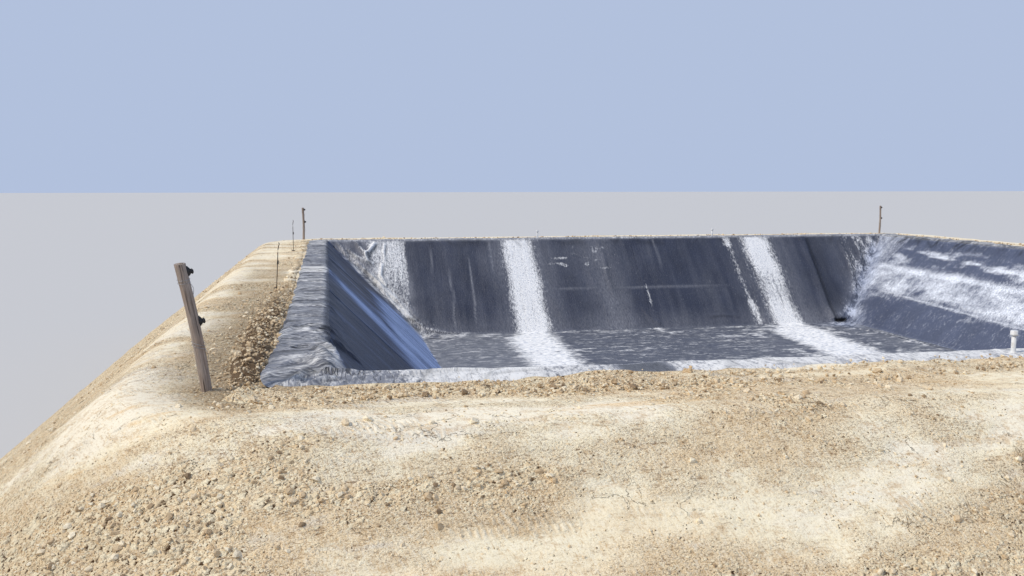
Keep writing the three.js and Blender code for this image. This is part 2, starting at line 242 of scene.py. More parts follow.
# Single folds that show plainly: places in plan, width and height
FOLD_LINES = [
    ([(-8.98, -8.11), (-8.64, -8.10), (-8.50, -8.46)], 0.035, 0.030),
    ([(-9.04, -7.24), (-8.86, -6.77), (-8.64, -6.70)], 0.035, 0.024),
    ([(-9.02, -9.30), (-8.87, -9.10), (-8.71, -9.12), (-8.60, -9.30), (-8.48, -9.52)], 0.045, 0.045),
    ([(-8.88, -9.98), (-8.77, -9.57), (-8.63, -9.53), (-8.48, -9.60)], 0.040, 0.045),
    ([(-8.74, -10.0), (-8.64, -9.86), (-8.50, -9.77)], 0.040, 0.040),
    ([(-9.00, -8.36), (-8.87, -8.17), (-8.73, -8.20), (-8.58, -8.76), (-8.46, -9.10)], 0.040, 0.036),
    ([(-8.62, -8.02), (-8.54, -8.40), (-8.44, -8.72)], 0.030, 0.030),
    ([(-8.92, -8.75), (-8.76, -8.72), (-8.60, -8.98), (-8.47, -9.22)], 0.030, 0.026),
    ([(-8.30, -9.98), (-8.12, -9.80), (-7.70, -9.66), (-7.20, -9.60)], 0.035, 0.022),
    ([(-7.40, -9.94), (-7.10, -9.76), (-6.60, -9.66)], 0.035, 0.020),
    ([(-8.72, -7.62), (-8.58, -7.50), (-8.40, -7.30), (-8.20, -7.24)], 0.03, 0.034),
    ([(-8.72, -6.98), (-8.58, -6.92), (-8.42, -6.80)], 0.03, 0.026),
    ([(-8.72, -5.10), (-8.56, -4.96), (-8.30, -4.90)], 0.03, 0.022),
    ([(-8.74, 3.3), (-8.58, 3.42), (-8.3, 3.5)], 0.03, 0.026),
    ([(-7.78, 9.52), (-7.66, 9.33), (-7.55, 9.20), (-7.46, 8.95)], 0.055, 0.080),
    ([(-7.20, 9.50), (-7.40, 9.28), (-7.55, 9.13)], 0.05, 0.075),
    ([(-8.05, 9.36), (-7.80, 9.12), (-7.55, 8.98), (-7.30, 8.92)], 0.05, 0.065),
    ([(-8.30, 9.50), (-8.12, 9.30), (-8.00, 9.10)], 0.045, 0.055),
    ([(-7.08, 8.95), (-7.14, 8.60), (-7.00, 8.35)], 0.045, 0.055),
    ([(-6.95, 9.50), (-7.02, 9.20), (-6.98, 8.95)], 0.035, 0.040),
    ([(-7.50, 8.75), (-7.15, 8.35), (-6.75, 8.00), (-6.40, 7.55)], 0.05, 0.050),
    ([(-7.30, 8.50), (-6.95, 8.00), (-6.60, 7.65), (-6.10, 7.35)], 0.05, 0.050),
    ([(-6.2, 7.35), (-5.7, 7.22), (-5.1, 7.16), (-4.5, 7.15)], 0.035, 0.035),
    ([(-6.3, 7.10), (-5.8, 6.98), (-5.2, 6.90)], 0.035, 0.030),
    ([(7.02, 9.45), (7.10, 8.9), (6.92, 8.2), (6.72, 7.7)], 0.05, 0.035),
    ([(7.62, 9.40), (7.55, 8.95), (7.30, 8.5)], 0.05, 0.035),
    ([(-0.75, 9.5), (-0.62, 9.1), (-0.68, 8.5), (-0.60, 7.9)], 0.05, 0.018),
    ([(0.1, 7.7), (0.25, 7.4), (0.5, 7.25)], 0.05, 0.022),
    ([(1.9, 7.42), (2.4, 7.45), (2.9, 7.40)], 0.035, 0.020),
    ([(5.75, 6.3), (6.0, 5.2), (6.02, 3.8), (6.1, 2.6)], 0.035, 0.045),
    ([(5.45, 6.6), (5.85, 5.6), (5.9, 4.2), (6.0, 2.2)], 0.035, 0.034),
    ([(4.35, 4.9), (4.55, 4.2), (4.85, 3.1)], 0.025, 0.016),
]
# Height of the pleats down each valley, by the signs of X and Y
PLEATS = {(-1, 1): 0.075, (1, 1): 0.04, (-1, -1): 0.05, (1, -1): 0.045}
CREASE_TOP, CREASE_FOOT = 5.93, 5.72
LIFTED_FOLD = (5.93, 7.22)


def fold_line(x, y, points, width):
    """A rounded ridge along a line of points, which fades at both ends."""
    points = np.array(points)
    spans = np.diff(points, axis=0)
    lengths = np.linalg.norm(spans, axis=1)
    total, done = lengths.sum(), 0.0
    shape = np.zeros(x.shape)
    for start, span, length in zip(points, spans, lengths):
        along = np.clip(((x - start[0]) * span[0] + (y - start[1]) * span[1]) / length**2, 0, 1)
        gap = np.hypot(x - start[0] - along * span[0], y - start[1] - along * span[1])
        share = (done + along * length) / total
        fade = np.sqrt(np.clip(4 * share * (1 - share), 0, 1))
        shape = np.maximum(shape, fade * bell(gap, width))
        done += length
    return shape


def single_folds(x, y):
    total = np.zeros(x.shape)
    for points, width, height in FOLD_LINES:
        low, high = np.min(points, axis=0) - 3 * width, np.max(points, axis=0) + 3 * width
        near = (x > low[0]) & (x < high[0]) & (y > low[1]) & (y < high[1])
        if near.any():
            total[near] += height * fold_line(x[near], y[near], points, width)
    return total


def slope_folds(run, down, seed):
    """Tension wrinkles that run straight down a slope, with a few sharper creases."""
    drift = 0.12 * noise(run / 1.4, down / 1.6, seed)
    patch = 0.55 + 0.45 * noise(run / 0.9, down / 2.4, seed + 3)
    fine = 0.0045 * noise((run + drift) / 0.12, down / 0.7, seed + 7)
    soft = 0.010 * noise((run + drift) / 0.34, down / 2.0, seed + 9)
    sharp = 0.016 * ridge((run + drift) / 0.75, down / 3.4, seed + 11) ** 3
    return patch * (fine + sharp) + soft


def crest_creases(run, down, seed):
    """Noise whose zero lines are the crests of the wide, middling and close wrinkles over the shoulder."""
    lean = 1.1 * noise(run / 1.3, 0.3, seed) * (down + 0.25)
    run = run + lean + 0.07 * noise(run / 0.40, down / 0.40, seed + 1)
    scales = [(0.62, 1.6, 2), (0.25, 0.8, 3), (0.10, 0.5, 6)]
    return [noise(run / along, down / across, seed + more) for along, across, more in scales]


def crest_folds(run, down, seed, corner):
    """Wrinkles across the crest, where the slack of the sheet is gathered over the shoulder."""
    wide, middling, close = ((1 - np.abs(n)) ** 2 - 0.4 for n in crest_creases(run, down, seed))
    patch = 0.65 + 0.35 * noise(run / 0.8, down / 0.8, seed + 4)
    return (0.036 + 0.016 * corner) * wide * patch + 0.020 * middling + 0.006 * close


def crest_fold_shade(run, down, seed):
    """Painted shade: dark lines along the foot of the crest wrinkles."""
    wide, middling, close = crest_creases(run, down, seed)
    broken = smoothstep(-0.6, 0.1, noise(run / 0.7, down / 0.3, seed))
    middling = 0.62 * broken * bell(middling + 0.2, 0.09)
    return most(0.70 * bell(wide + 0.15, 0.05), middling, 0.26 * bell(close + 0.2, 0.2))


def crest_dust_and_highlight(run, down, seed):
    """Pale lines along the tops of the crest wrinkles: dust on the ridges, and painted highlight."""
    wide, middling, _ = crest_creases(run, down, seed)
    return np.maximum(bell(wide - 0.05, 0.06), 0.7 * bell(middling - 0.05, 0.12))


def floor_folds(x, y):
    """Short ripples across the floor."""
    drift = 0.10 * noise(x / 0.5, y / 0.5, 21)
    patch = 0.6 + 0.4 * noise(x / 2.6, y / 2.1, 22)
    ripple = 0.020 * (ridge(x / 0.55, (y + drift) / 0.26, 23) - 0.4)
    return patch * ripple + 0.010 * ridge(x / 1.9, (y + drift) / 0.55, 24)


def corner_pleats(spot):
    """Folds that run down a valley, where the slack of two slopes meets."""
    across, out = spot.valley, spot.out
    total = 0.0
    for (sign_x, sign_y), height in PLEATS.items():
        here = (np.sign(spot.x) == sign_x) & (np.sign(spot.y) == sign_y)
        seed = 31 + 3 * sign_x + sign_y
        folds = ridge((across + 0.12 * noise(out / 0.5, seed, 1.5)) / 0.13, out / 0.7, seed) - 0.35
        cross = ridge(across / 0.2, out / 0.16, seed + 5) - 0.4
        reach = bell(across, 0.30) * band(out, -2.75, 0.0, 0.25)
        total = total + np.where(here, height * reach * (folds + 0.35 * cross), 0)
    return total


def crease_x(out):
    """Where the far slope's long crease crosses a level."""
    return CREASE_TOP + (CREASE_FOOT - CREASE_TOP) * np.clip(-out / SLOPE_RUN, 0, 1)


def long_crease(spot):
    """A fold of slack on the far slope, steep on its right."""
    across = spot.x - crease_x(spot.out) - 0.03 * noise(spot.out / 0.8, 3.0, 41)
    shape = bell(across, np.where(across < 0, 0.16, 0.03))
    return np.where(spot.y > 0, 0.045 * shape * band(spot.out, -2.45, -0.05, 0.1), 0)


def lifted_fold(x, y):
    """The slack at the far right foot, lifted off the floor as a short hood."""
    fold_x, fold_y = LIFTED_FOLD
    hood = smoothstep(-0.02, 0.03, y - fold_y) * (1 - smoothstep(0.05, 0.42, y - fold_y))
    return 0.09 * bell(x - fold_x, 0.24, 4) * hood


def corner_slack(spot):
    """The sheet stands off the ground over the near left corner's shoulder, where it has slack."""
    return 0.08 * bell(spot.out + 0.22, 0.20) * near_left_corner(spot.x, spot.y, 0.95)


def fold_height(x, y):
    """How far the lining stands off its plain surface."""
    spot = Spot(x, y)
    calm = 1 - 0.65 * smoothstep(0.8, 0.3, spot.corner)
    slope = spot.by_side(slope_folds, 50)
    crest = spot.by_side(lambda run, down, seed: crest_folds(run, down, seed, spot.corner), 90, calm)
    on_floor = smoothstep(-2.25, -2.6, spot.out)
    on_crest = smoothstep(-0.45, -0.02, spot.out)
    height = slope * (1 - on_floor) * (1 - on_crest) + floor_folds(x, y) * on_floor + crest * on_crest
    height = height + 0.012 * fractal(x / 1.5, y / 1.5, 3.3, 3) + single_folds(x, y)
    return height + corner_pleats(spot) + long_crease(spot) + lifted_fold(x, y) + corner_slack(spot)


def surface_normal(level, x, y, step):
    """Direction square to a surface, from the differences of its height over a step."""
    fall_x = level(x - step, y) - level(x + step, y)
    fall_y = level(x, y - step) - level(x, y + step)
    return unit(np.stack([fall_x, fall_y, np.full(fall_x.shape, 2 * step)], -1))


def base_normal(x, y):
    """Direction that the lining's folds stand out in."""
    return surface_normal(lambda px, py: lining_level(outward(px, py)), x, y, 0.01)


def lining_point(x, y):
    """Point of the lining over a place of the plan."""
    return np.stack([x, y, lining_level(outward(x, y))], -1) + base_normal(x, y) * fold_height(x, y)[..., None]


def lining_normal(x, y, points):
    step = 0.012
    return unit(np.cross(lining_point(x + step, y) - points, lining_point(x, y + step) - points))


# Dust on the lining. "Dust" is the share of it that is white with dust, "film" an even thin coat.

def streaky(run, down, seed):
    """Noise drawn out down the slope, from 0 to 1."""
    return 0.5 + 0.5 * fractal(run / 0.34, down / 1.8, seed, 3)


def far_slope_dust(x, out):
    run = x + HALF_X
    depth = np.clip(-out / SLOPE_RUN, 0, 1.05)
    waved = run + 0.03 * noise(out / 0.6, 4.0, 62)
    first = smoothstep(0.8 + 0.3 * depth, 1.35 + 0.4 * depth, run)
    first = first * (1 - smoothstep(2.12, 2.26, run - 0.08 * depth))
    first = first * (0.58 - 0.36 * smoothstep(0.25, 0.85, depth))
    second = 0.80 * band(waved, 5.03 - 0.05 * depth, 5.90 + 0.05 * depth, 0.27)
    third = 0.80 * band(waved, 12.44, 13.34, 0.32) * (1 - 0.25 * band(depth, 0.45, 0.8, 0.12))
    streak = 0.66 * band(run, 11.80 + 0.12 * depth, 12.04 + 0.14 * depth, 0.12)
    streak = streak * (0.5 + 0.5 * smoothstep(-0.35, 0.25, noise(out / 0.28, 2.0, 64)))
    right = 0.58 * band(run, 15.85 - 0.5 * depth, 18, 0.35)
    right = right * smoothstep(-0.4, 0.5, fractal(x / 0.22, out / 0.6, 65, 4))
    nick = 0.55 * band(run, 8.96, 9.04, 0.04) * band(depth, 0.52, 0.8, 0.1)
    ticks = 0.40 * smoothstep(0.25, 0.7, noise(x / 0.32, out / 0.07, 67)) * band(run, 6.2, 8.4, 0.4)
    return most(first, second, third, right, streak, nick, ticks * band(depth, 0.1, 0.4, 0.1))


# Thin upright smears on the far slope: place along it, and the shares of its depth where each starts and ends
SMEARS = [(2.9, 0.1, 0.4), (3.36, 0.35, 0.98), (3.95, 0.2, 0.9), (4.60, 0.0, 0.45), (9.6, 0.0, 0.35)]
# Hazes on it: the places along it where each starts and ends, and how soft its edges are
HAZES = [(4.7, 6.4, 0.4), (12.1, 13.9, 0.5), (7.3, 8.3, 0.5)]


def far_slope_film(x, out):
    """The grey coat of the end slopes: heavy beside the left valley, faint clouds and smears elsewhere."""
    run = x + HALF_X
    depth = np.clip(-out / SLOPE_RUN, 0, 1.05)
    corner = 0.46 - 0.10 * depth + 0.30 * noise(x / 0.25, out / 0.2, 63)
    corner = (1 - smoothstep(2.12, 2.26 + 0.5 * depth, run)) * corner
    cloud = 0.04 + 0.12 * fractal(x / 0.9, out / 0.9, 88, 4, 0.6) + 0.10 * fractal(x / 0.16, out / 1.4, 89, 3)
    cloud = cloud + 0.18 * smoothstep(0.75, 1.0, depth) + 0.16 * smoothstep(14.6, 16.0, run)
    cloud = cloud + 0.26 * sum(band(run, *haze) for haze in HAZES)
    smears = [0.75 * band(run - 0.04 * noise(out / 0.5, at), at, at + 0.03, 0.03) * band(depth, high, low, 0.08)
              for at, high, low in SMEARS]
    seam = 0.55 * band(run, 7.72, 7.82, 0.06) * smoothstep(-0.3, 0.4, noise(out / 0.3, 9.0, 66))
    level = 0.40 * band(depth, 0.555, 0.575, 0.015) * band(run, 5.6, 11.2, 0.8)
    return most(corner, cloud, *smears, seam, level)


def floor_dust(x, y):
    back = np.maximum(HALF_Y - SLOPE_RUN - y, 0)
    waved = x + 0.05 * noise(y / 0.5, 3.0, 71)
    soft = 0.32 + 0.05 * np.minimum(back, 6)
    start = smoothstep(0, 1.2, back)
    second = 0.84 * band(waved, -3.55 - 0.50 * start - 0.03 * back, -2.68 - 0.05 * back, soft)
    third = 0.84 * band(waved, 3.95 - 0.62 * start - 0.10 * back, 4.86 - 0.09 * back, soft)
    drifts = 0.50 * band(x, 2.2, 4.4, 0.6) * smoothstep(0.0, 0.5, noise(x / 0.9, y / 0.3, 74))
    foot = 0.44 * band(back, 0.0, 0.35, 0.15) * smoothstep(-0.2, 0.4, noise(x / 0.35, y / 0.12, 75))
    ripple = ridge(x / 1.1, (y + 0.1 * noise(x / 0.6, y / 0.6, 77)) / 0.42, 73) ** 3
    ground = 0.16 + 0.34 * ripple * smoothstep(-0.5, 0.4, fractal(x / 2.2, y / 1.4, 70, 3))
    return most(second, third, drifts, foot, ground)


def left_slope_dust(y, down):
    """Dust and film of the left slope, which is mostly an even bluish film in streaks."""
    run = y + HALF_Y
    lines = streaky(run, down, 76)
    strands = np.clip(0.5 + 1.6 * (lines - 0.5) + 1.2 * (streaky(3.2 * run, 1.6 * down, 75) - 0.5), 0, 1)
    centre = 10.05 - 0.10 * down - 0.26 * down**2
    stripe = bell(run - centre, 0.46 + 0.42 * np.clip(down, 0, 2)) * (0.50 + 0.55 * strands)
    low = smoothstep(1.25, 2.15, down + 0.35 * fractal(run / 0.5, 1.0, 69, 3))
    low = low * smoothstep(5.6, 9.0, run) * (1 - smoothstep(15.9, 17.6, run)) * (0.34 + 0.76 * strands)
    short = 0.42 * smoothstep(0.55, 0.8, lines) * band(run, 10.5, 16.5, 1.2) * smoothstep(0.1, 0.6, down)
    rest = 0.02 + 0.20 * smoothstep(0.5, 0.85, lines)
    return np.maximum(0.74 * stripe - 0.08, 0.88 * low - 0.02), most(0.95 * stripe, low, short, rest)


def right_slope_dust(y, down):
    run = y + HALF_Y
    lines = streaky(run / 2, down, 78) - 0.5
    cloud = fractal(run / 0.9, down / 0.35, 79, 4, 0.6)
    waver = 0.10 * fractal(run / 0.8, down / 2.0, 80, 3)
    drop = 0.05 * np.clip(18.0 - run, 0, 19)
    top = 0.65 * drop
    wide = band(down + waver, 1.06 + top, 2.10 + drop, 0.26) * (0.54 + 0.46 * cloud + 0.36 * lines)
    rim = 0.82 * band(down + waver, 1.10 + top, 1.38 + top, 0.18) * (0.9 + 0.4 * cloud)
    wisps = fractal((run + 1.2 * down) / 1.3, down / 0.24, 82, 4, 0.6)
    upper = band(down + 1.6 * waver, 0.42 + 0.04 * (18 - run), 0.82 + 0.05 * (18 - run), 0.28)
    upper = 0.84 * upper * smoothstep(-0.3, 0.4, wisps + 0.5 * lines)
    between = 0.54 * band(down, 0.6, 1.25, 0.2) * smoothstep(-0.3, 0.6, cloud + 0.9 * lines)
    seam = 0.70 * band(down, 2.05 + drop, 2.12 + drop, 0.06) * smoothstep(-0.6, 0.2, noise(run / 0.8, 6.0, 81))
    below = 0.42 * band(down + 2 * waver, 2.1 + drop, 2.36 + drop, 0.2) * smoothstep(-0.2, 0.4, cloud)
    rest = 0.10 + 0.14 * cloud + 0.06 * lines
    return most(wide, rim, upper, between, seam, below, 0.42 * smoothstep(16.8, 18.3, run), rest)


# Where the near crest's sheet is bare of dust, along X; a strip of it also gets painted shadow of the sheet's
# lifted edge
BARE_PATCH = (-6.05, -5.62)


def apron_dust(spot):
    x, y, sideways = spot.x, spot.y, spot.sideways
    stripe = 0.95 * band(y + HALF_Y, 9.45, 10.60, 0.08) * (x < 0) * sideways
    near_side = (y < 0) * (1 - sideways) * smoothstep(-8.4, -7.6, x)
    patches = near_side * (0.62 + 0.15 * noise(x / 0.7, y / 0.7, 84))
    bare = near_side * band(x, *BARE_PATCH, 0.08) * band(spot.out, 0.06, 0.5, 0.04)
    plain = 0.31 - 0.03 * (1 - sideways) * near_left_corner(x, y, 1.3)
    plain = plain + 0.10 * fractal(x / 0.3, y / 0.12, 83, 4) + 0.12 * sideways * noise(y / 0.9, 1.0, 95)
    return most(plain, stripe, patches * (1 - bare)) * (1 - 0.9 * bare)


def film_edge(spot):
    """Outward distance where the slope's clean sheet gives way to the dusty crest."""
    x, y = spot.x, spot.y
    fingers = 0.07 * noise(y / 0.11, 4.0, 97) * near_left_corner(x, y, 2.2)
    left = 0.03 + 0.04 * near_left_corner(x, y, 4.0) - 0.31 * near_left_corner(x, y, 1.4) + fingers
    return np.where(x < 0, left * spot.sideways, 0.0)


def valley_share(spot):
    """How near a place is to one of the valleys between two slopes."""
    return bell(spot.valley, 0.30 + 0.20 * smoothstep(-1.8, -2.6, spot.out)) * band(spot.out, -2.95, -0.25, 0.3)


def blend(share, a, b):
    return a * (1 - share) + b * share


def dust_and_film(spot):
    x, y, out, down, sideways = spot.x, spot.y, spot.out, spot.down, spot.sideways
    lie = np.where(y > 0, x, -x)
    left_dust, left_film = left_slope_dust(y, down)
    on_floor = smoothstep(-2.34, -2.44, out)
    edge = film_edge(spot)
    on_crest = smoothstep(edge - 0.07, edge - 0.01, out)
    valley = valley_share(spot)

    dust = blend(sideways, far_slope_dust(lie, out), np.where(x > 0, right_slope_dust(y, down), left_dust))
    dust = blend(on_floor, dust, floor_dust(x, y))
    # The pale lines on the crest wrinkles' tops are dust and painted highlight.
    dust = blend(on_crest, dust, apron_dust(spot) + 0.27 * spot.by_side(crest_dust_and_highlight, 90, 0.4))
    rough = np.where(x > 0, 0.44, 0.45) + 0.50 * fractal(x / 0.17, y / 0.17, 85, 4, 0.6)
    dust = blend(0.8 * valley, dust, rough) + (5 - 3 * on_crest) * single_folds(x, y)

    film = np.where(x > 0, 0.05 + 0.06 * fractal(y / 0.9, down / 0.9, 88, 4), left_film)
    film = blend(sideways, far_slope_film(lie, out), film)
    film = film + valley * (np.where(x > 0, 0.4, 0.5) + 0.3 * noise(x / 0.3, y / 0.3, 86))
    film = blend(on_floor, film, 0.26 + 0.24 * smoothstep(-2.5, -5.0, x) + 0.15 * smoothstep(4.8, 6.0, x))
    film = blend(on_crest, film, 0.74)
    grey = np.where((x > 0) & (on_crest < 0.5), -valley, np.maximum(on_crest, valley))
    return {"dust": np.clip(dust, 0, 1), "film": np.clip(film, 0, 1), "grey": grey}


def gloom(spot):
    """Painted shade: dark lines at the foot of the crest wrinkles, flanks of the single folds away from the
    light, the shadow beside the far slope's long crease, the dark mouth of the lifted fold, the shadow of the
    lifted edge over the near crest's bare patch, and darker crumples down the valleys.
    """
    x, y, out = spot.x, spot.y, spot.out
    across = x - crease_x(out)
    # Painted shadow of the long crease's fold: a narrow dark band and a broad soft one on its right.
    crease = 0.55 * band(across, 0.0, 0.13, 0.03) * band(out, -2.4, -0.05, 0.05) * (y > 0)
    soft = 0.20 * band(across, 0.0, 0.5, 0.15) * band(out, -2.4, -0.02, 0.05) * (y > 0)
    # Painted shade in the mouth of the lifted fold.
    fold_x, fold_y = LIFTED_FOLD
    mouth = band(x, fold_x - 0.2, fold_x + 0.2, 0.03) * band(y, fold_y - 0.07, fold_y + 0.03, 0.02)
    # Painted shadow of the lifted sheet edge over the near crest's bare patch.
    bare = 0.6 * band(x, *BARE_PATCH, 0.05) * band(y, -9.95, -9.62, 0.03)
    # Painted shade on the sides of the single folds away from the light.
    flank = np.clip(16 * (single_folds(x - 0.045, y + 0.03) - single_folds(x, y)), 0, 0.6)
    # Painted shade in crumples down the valleys.
    crumpled = np.where(x > 0, 0.25, 0.6) * smoothstep(0.05, 0.45, fractal(x / 0.22, y / 0.16, 47, 3, 0.6))
    # Painted shade at the foot of the crest wrinkles, weaker on the end sides away from the near left corner.
    wrinkle_shade = spot.by_side(crest_fold_shade, 90) * smoothstep(-0.35, -0.1, out)
    wrinkle_shade = wrinkle_shade * np.where(spot.sideways < 0.5, 0.45 + 0.5 * near_left_corner(x, y, 1.2), 1.0)
    return most(crease, soft, mouth, bare, flank, crumpled * valley_share(spot), wrinkle_shade)


def crinkle(spot):
    """Share of the fine creases on the crest: few on the near side and where the corner's sheet lies flat."""
    flat = near_left_corner(spot.x, spot.y, 0.85) * smoothstep(0.0, 0.30, spot.out)
    return np.maximum(0.25 + 0.75 * spot.sideways, near_left_corner(spot.x, spot.y, 1.2)) * (1 - 0.5 * flat)


# Meshes

def new_object(name, points, faces, material, smooth=True):
    """Object with the points (..., 3) and faces (m, corners)."""
    points = np.asarray(points, np.float32).reshape(-1, 3)
    mesh = bpy.data.meshes.new(name)
    mesh.vertices.add(len(points))
    mesh.vertices.foreach_set("co", points.ravel())
    mesh.loops.add(faces.size)
    mesh.loops.foreach_set("vertex_index", np.asarray(faces, np.int32).ravel())
    mesh.polygons.add(len(faces))
    mesh.polygons.foreach_set("loop_start", np.arange(0, faces.size, faces.shape[1], dtype=np.int32))
    mesh.polygons.foreach_set("use_smooth", np.full(len(faces), smooth))
    mesh.update(calc_edges=True)
    mesh.materials.append(material)
    thing = bpy.data.objects.new(name, mesh)
    bpy.context.scene.collection.objects.link(thing)
    return thing


def add_values(thing, **values):
    """Gives the points what a material goes by. The lay is a place on the sheet or round the post."""
    for name, value in values.items():
        kind, key = ("FLOAT_VECTOR", "vector") if name == "lay" else ("FLOAT", "value")
        if name == "lay":
            value = np.stack([*value, np.zeros(value[0].shape)], -1)
        attribute = thing.data.attributes.new(name, kind, "POINT")
        attribute.data.foreach_set(key, np.asarray(value, np.float32).ravel())


def grid_faces(rows, columns, closed_rows=0, closed_columns=0):
    """Quads of a grid, whose rows or columns may close on themselves."""
    index = np.arange(rows * columns).reshape(rows, columns)
    index = np.pad(index, ((0, closed_rows), (0, closed_columns)), mode="wrap")
    low, high = index[:-1], index[1:]
    return np.stack([low[:, :-1], low[:, 1:], high[:, 1:], high[:, :-1]], -1).reshape(-1, 4)


def tidy(thing):
    """Merges doubled points, closes open ends and points the faces outwards."""
    mesh = bmesh.new()
    mesh.from_mesh(thing.data)
    bmesh.ops.remove_doubles(mesh, verts=mesh.verts, dist=1e-5)
    bmesh.ops.holes_fill(mesh, edges=[e for e in mesh.edges if e.is_boundary], sides=0)
    bmesh.ops.recalc_face_normals(mesh, faces=mesh.faces)
    mesh.to_mesh(thing.data)
    mesh.free()


def finish_piece(thing, slot_name, *nodes):
    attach(thing, "root")
    if nodes:
        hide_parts(*nodes)


def steps(low, high, step):
    return np.linspace(low, high, max(2, int(round(abs(high - low) / step)) + 1))


# Materials

class Value:
    """What a node gives. Arithmetic with it adds nodes to the same material."""

    def __init__(self, node, output=0):
        self.node, self.socket = node, node.outputs[output]

    def output(self, name):
        return Value(self.node, name)

    def math(self, operation, a, b=0.0):
        return add_node(self.node.id_data, "ShaderNodeMath", {0: a, 1: b}, operation=operation)

    def __add__(self, other):
        return self.math("ADD", self, other)

    def __sub__(self, other):
        return self.math("SUBTRACT", self, other)

    def __rsub__(self, other):
        return self.math("SUBTRACT", other, self)

    def __mul__(self, other):
        return self.math("MULTIPLY", self, other)

    def __abs__(self):
        return self.math("ABSOLUTE", self)

    def spread(self, low, high, to_low=0.0, to_high=1.0):
        """The value stretched from one range to another, and held inside it."""
        ends = {"From Min": low, "From Max": high, "To Min": to_low, "To Max": to_high}
        return add_node(self.node.id_data, "ShaderNodeMapRange", {"Value": self, **ends})


def put(socket, value):
    """Sets a node's input, or links another node's value to it."""
    if isinstance(value, Value):
        socket.id_data.links.new(value.socket, socket)
    else:
        socket.default_value = (*value, 1.0) if socket.type == "RGBA" else value


def add_node(tree, kind, inputs, output=0, **settings):
    node = tree.nodes.new(kind)
    for key, value in settings.items():
        setattr(node, key, value)
    for key, value in inputs.items():
        put(node.inputs[key], value)
    return Value(node, output)


class Shader:
    """A material built node by node."""

    def __init__(self, name):
        self.material = bpy.data.materials.new(name)
        self.material.use_nodes = True
        self.tree = self.material.node_tree

    def node(self, kind, inputs, output=0, **settings):
        return add_node(self.tree, kind, inputs, output, **settings)

    def attribute(self, name, output="Fac"):
        return self.node("ShaderNodeAttribute", {}, output, attribute_name=name)

    def places(self):
        return self.node("ShaderNodeTexCoord", {}, "Object")

    def vector(self, operation, a, b, output=0):
        return self.node("ShaderNodeVectorMath", {0: a, 1: b}, output, operation=operation)

    def noise(self, vector, scale, detail=4.0, roughness=0.5, distortion=0.0, output="Fac"):
        """Fractal noise over a vector, with one scale or with one for each axis."""
        if isinstance(scale, tuple):
            vector, scale = self.vector("MULTIPLY", vector, scale), 1.0
        shape = {"Detail": detail, "Roughness": roughness, "Distortion": distortion}
        return self.node("ShaderNodeTexNoise", {"Vector": vector, "Scale": scale, **shape}, output)

    def mix(self, share, a, b, blend="MIX"):
        return self.node("ShaderNodeMix", {"Factor": share, 6: a, 7: b}, 2, data_type="RGBA", blend_type=blend)

    def layered(self, colour, *coats):
        """A colour under coats of others, each with its share."""
        for share, coat in coats:
            colour = self.mix(share, colour, coat)
        return colour

    def finish(self, colour, roughness, height=None, distance=0.01, specular=0.5, metallic=0.0):
        inputs = {"Base Color": colour, "Roughness": roughness, "Metallic": metallic}
        inputs["Specular IOR Level"] = specular
        if height:
            bump = {"Height": height, "Strength": 1.0, "Distance": distance}
            inputs["Normal"] = self.node("ShaderNodeBump", bump)
        for key, value in inputs.items():
            put(self.tree.nodes["Principled BSDF"].inputs[key], value)
        return self.material


def linear(*screen):
    """A colour given as screen values from 0 to 255, as the shader's linear one."""
    return tuple(v / 255 / 12.92 if v <= 10 else ((v / 255 + 0.055) / 1.055) ** 2.4 for v in screen)


def dim(colour, share):
    return tuple(share * channel for channel in colour)


FILM, WHITE_DUST = linear(150, 151, 157), linear(252, 250, 246)
COOL_FILM, COOL_DUST = linear(130, 138, 158), linear(208, 215, 232)
PALE, MID, SHADE = linear(255, 241, 206), linear(243, 217, 174), linear(204, 169, 122)
DARK, WHITE_CLAY = linear(122, 90, 60), linear(254, 244, 220)
GREY_CLAY, OCHRE = linear(236, 228, 210), linear(236, 194, 132)
# Set stones in the ground: cells per metre, how far they stand out, and how rare they are
STONES = [(46, 0.3, 0.92), (22, 0.5, 1.16), (11, 0.8, 1.44)]


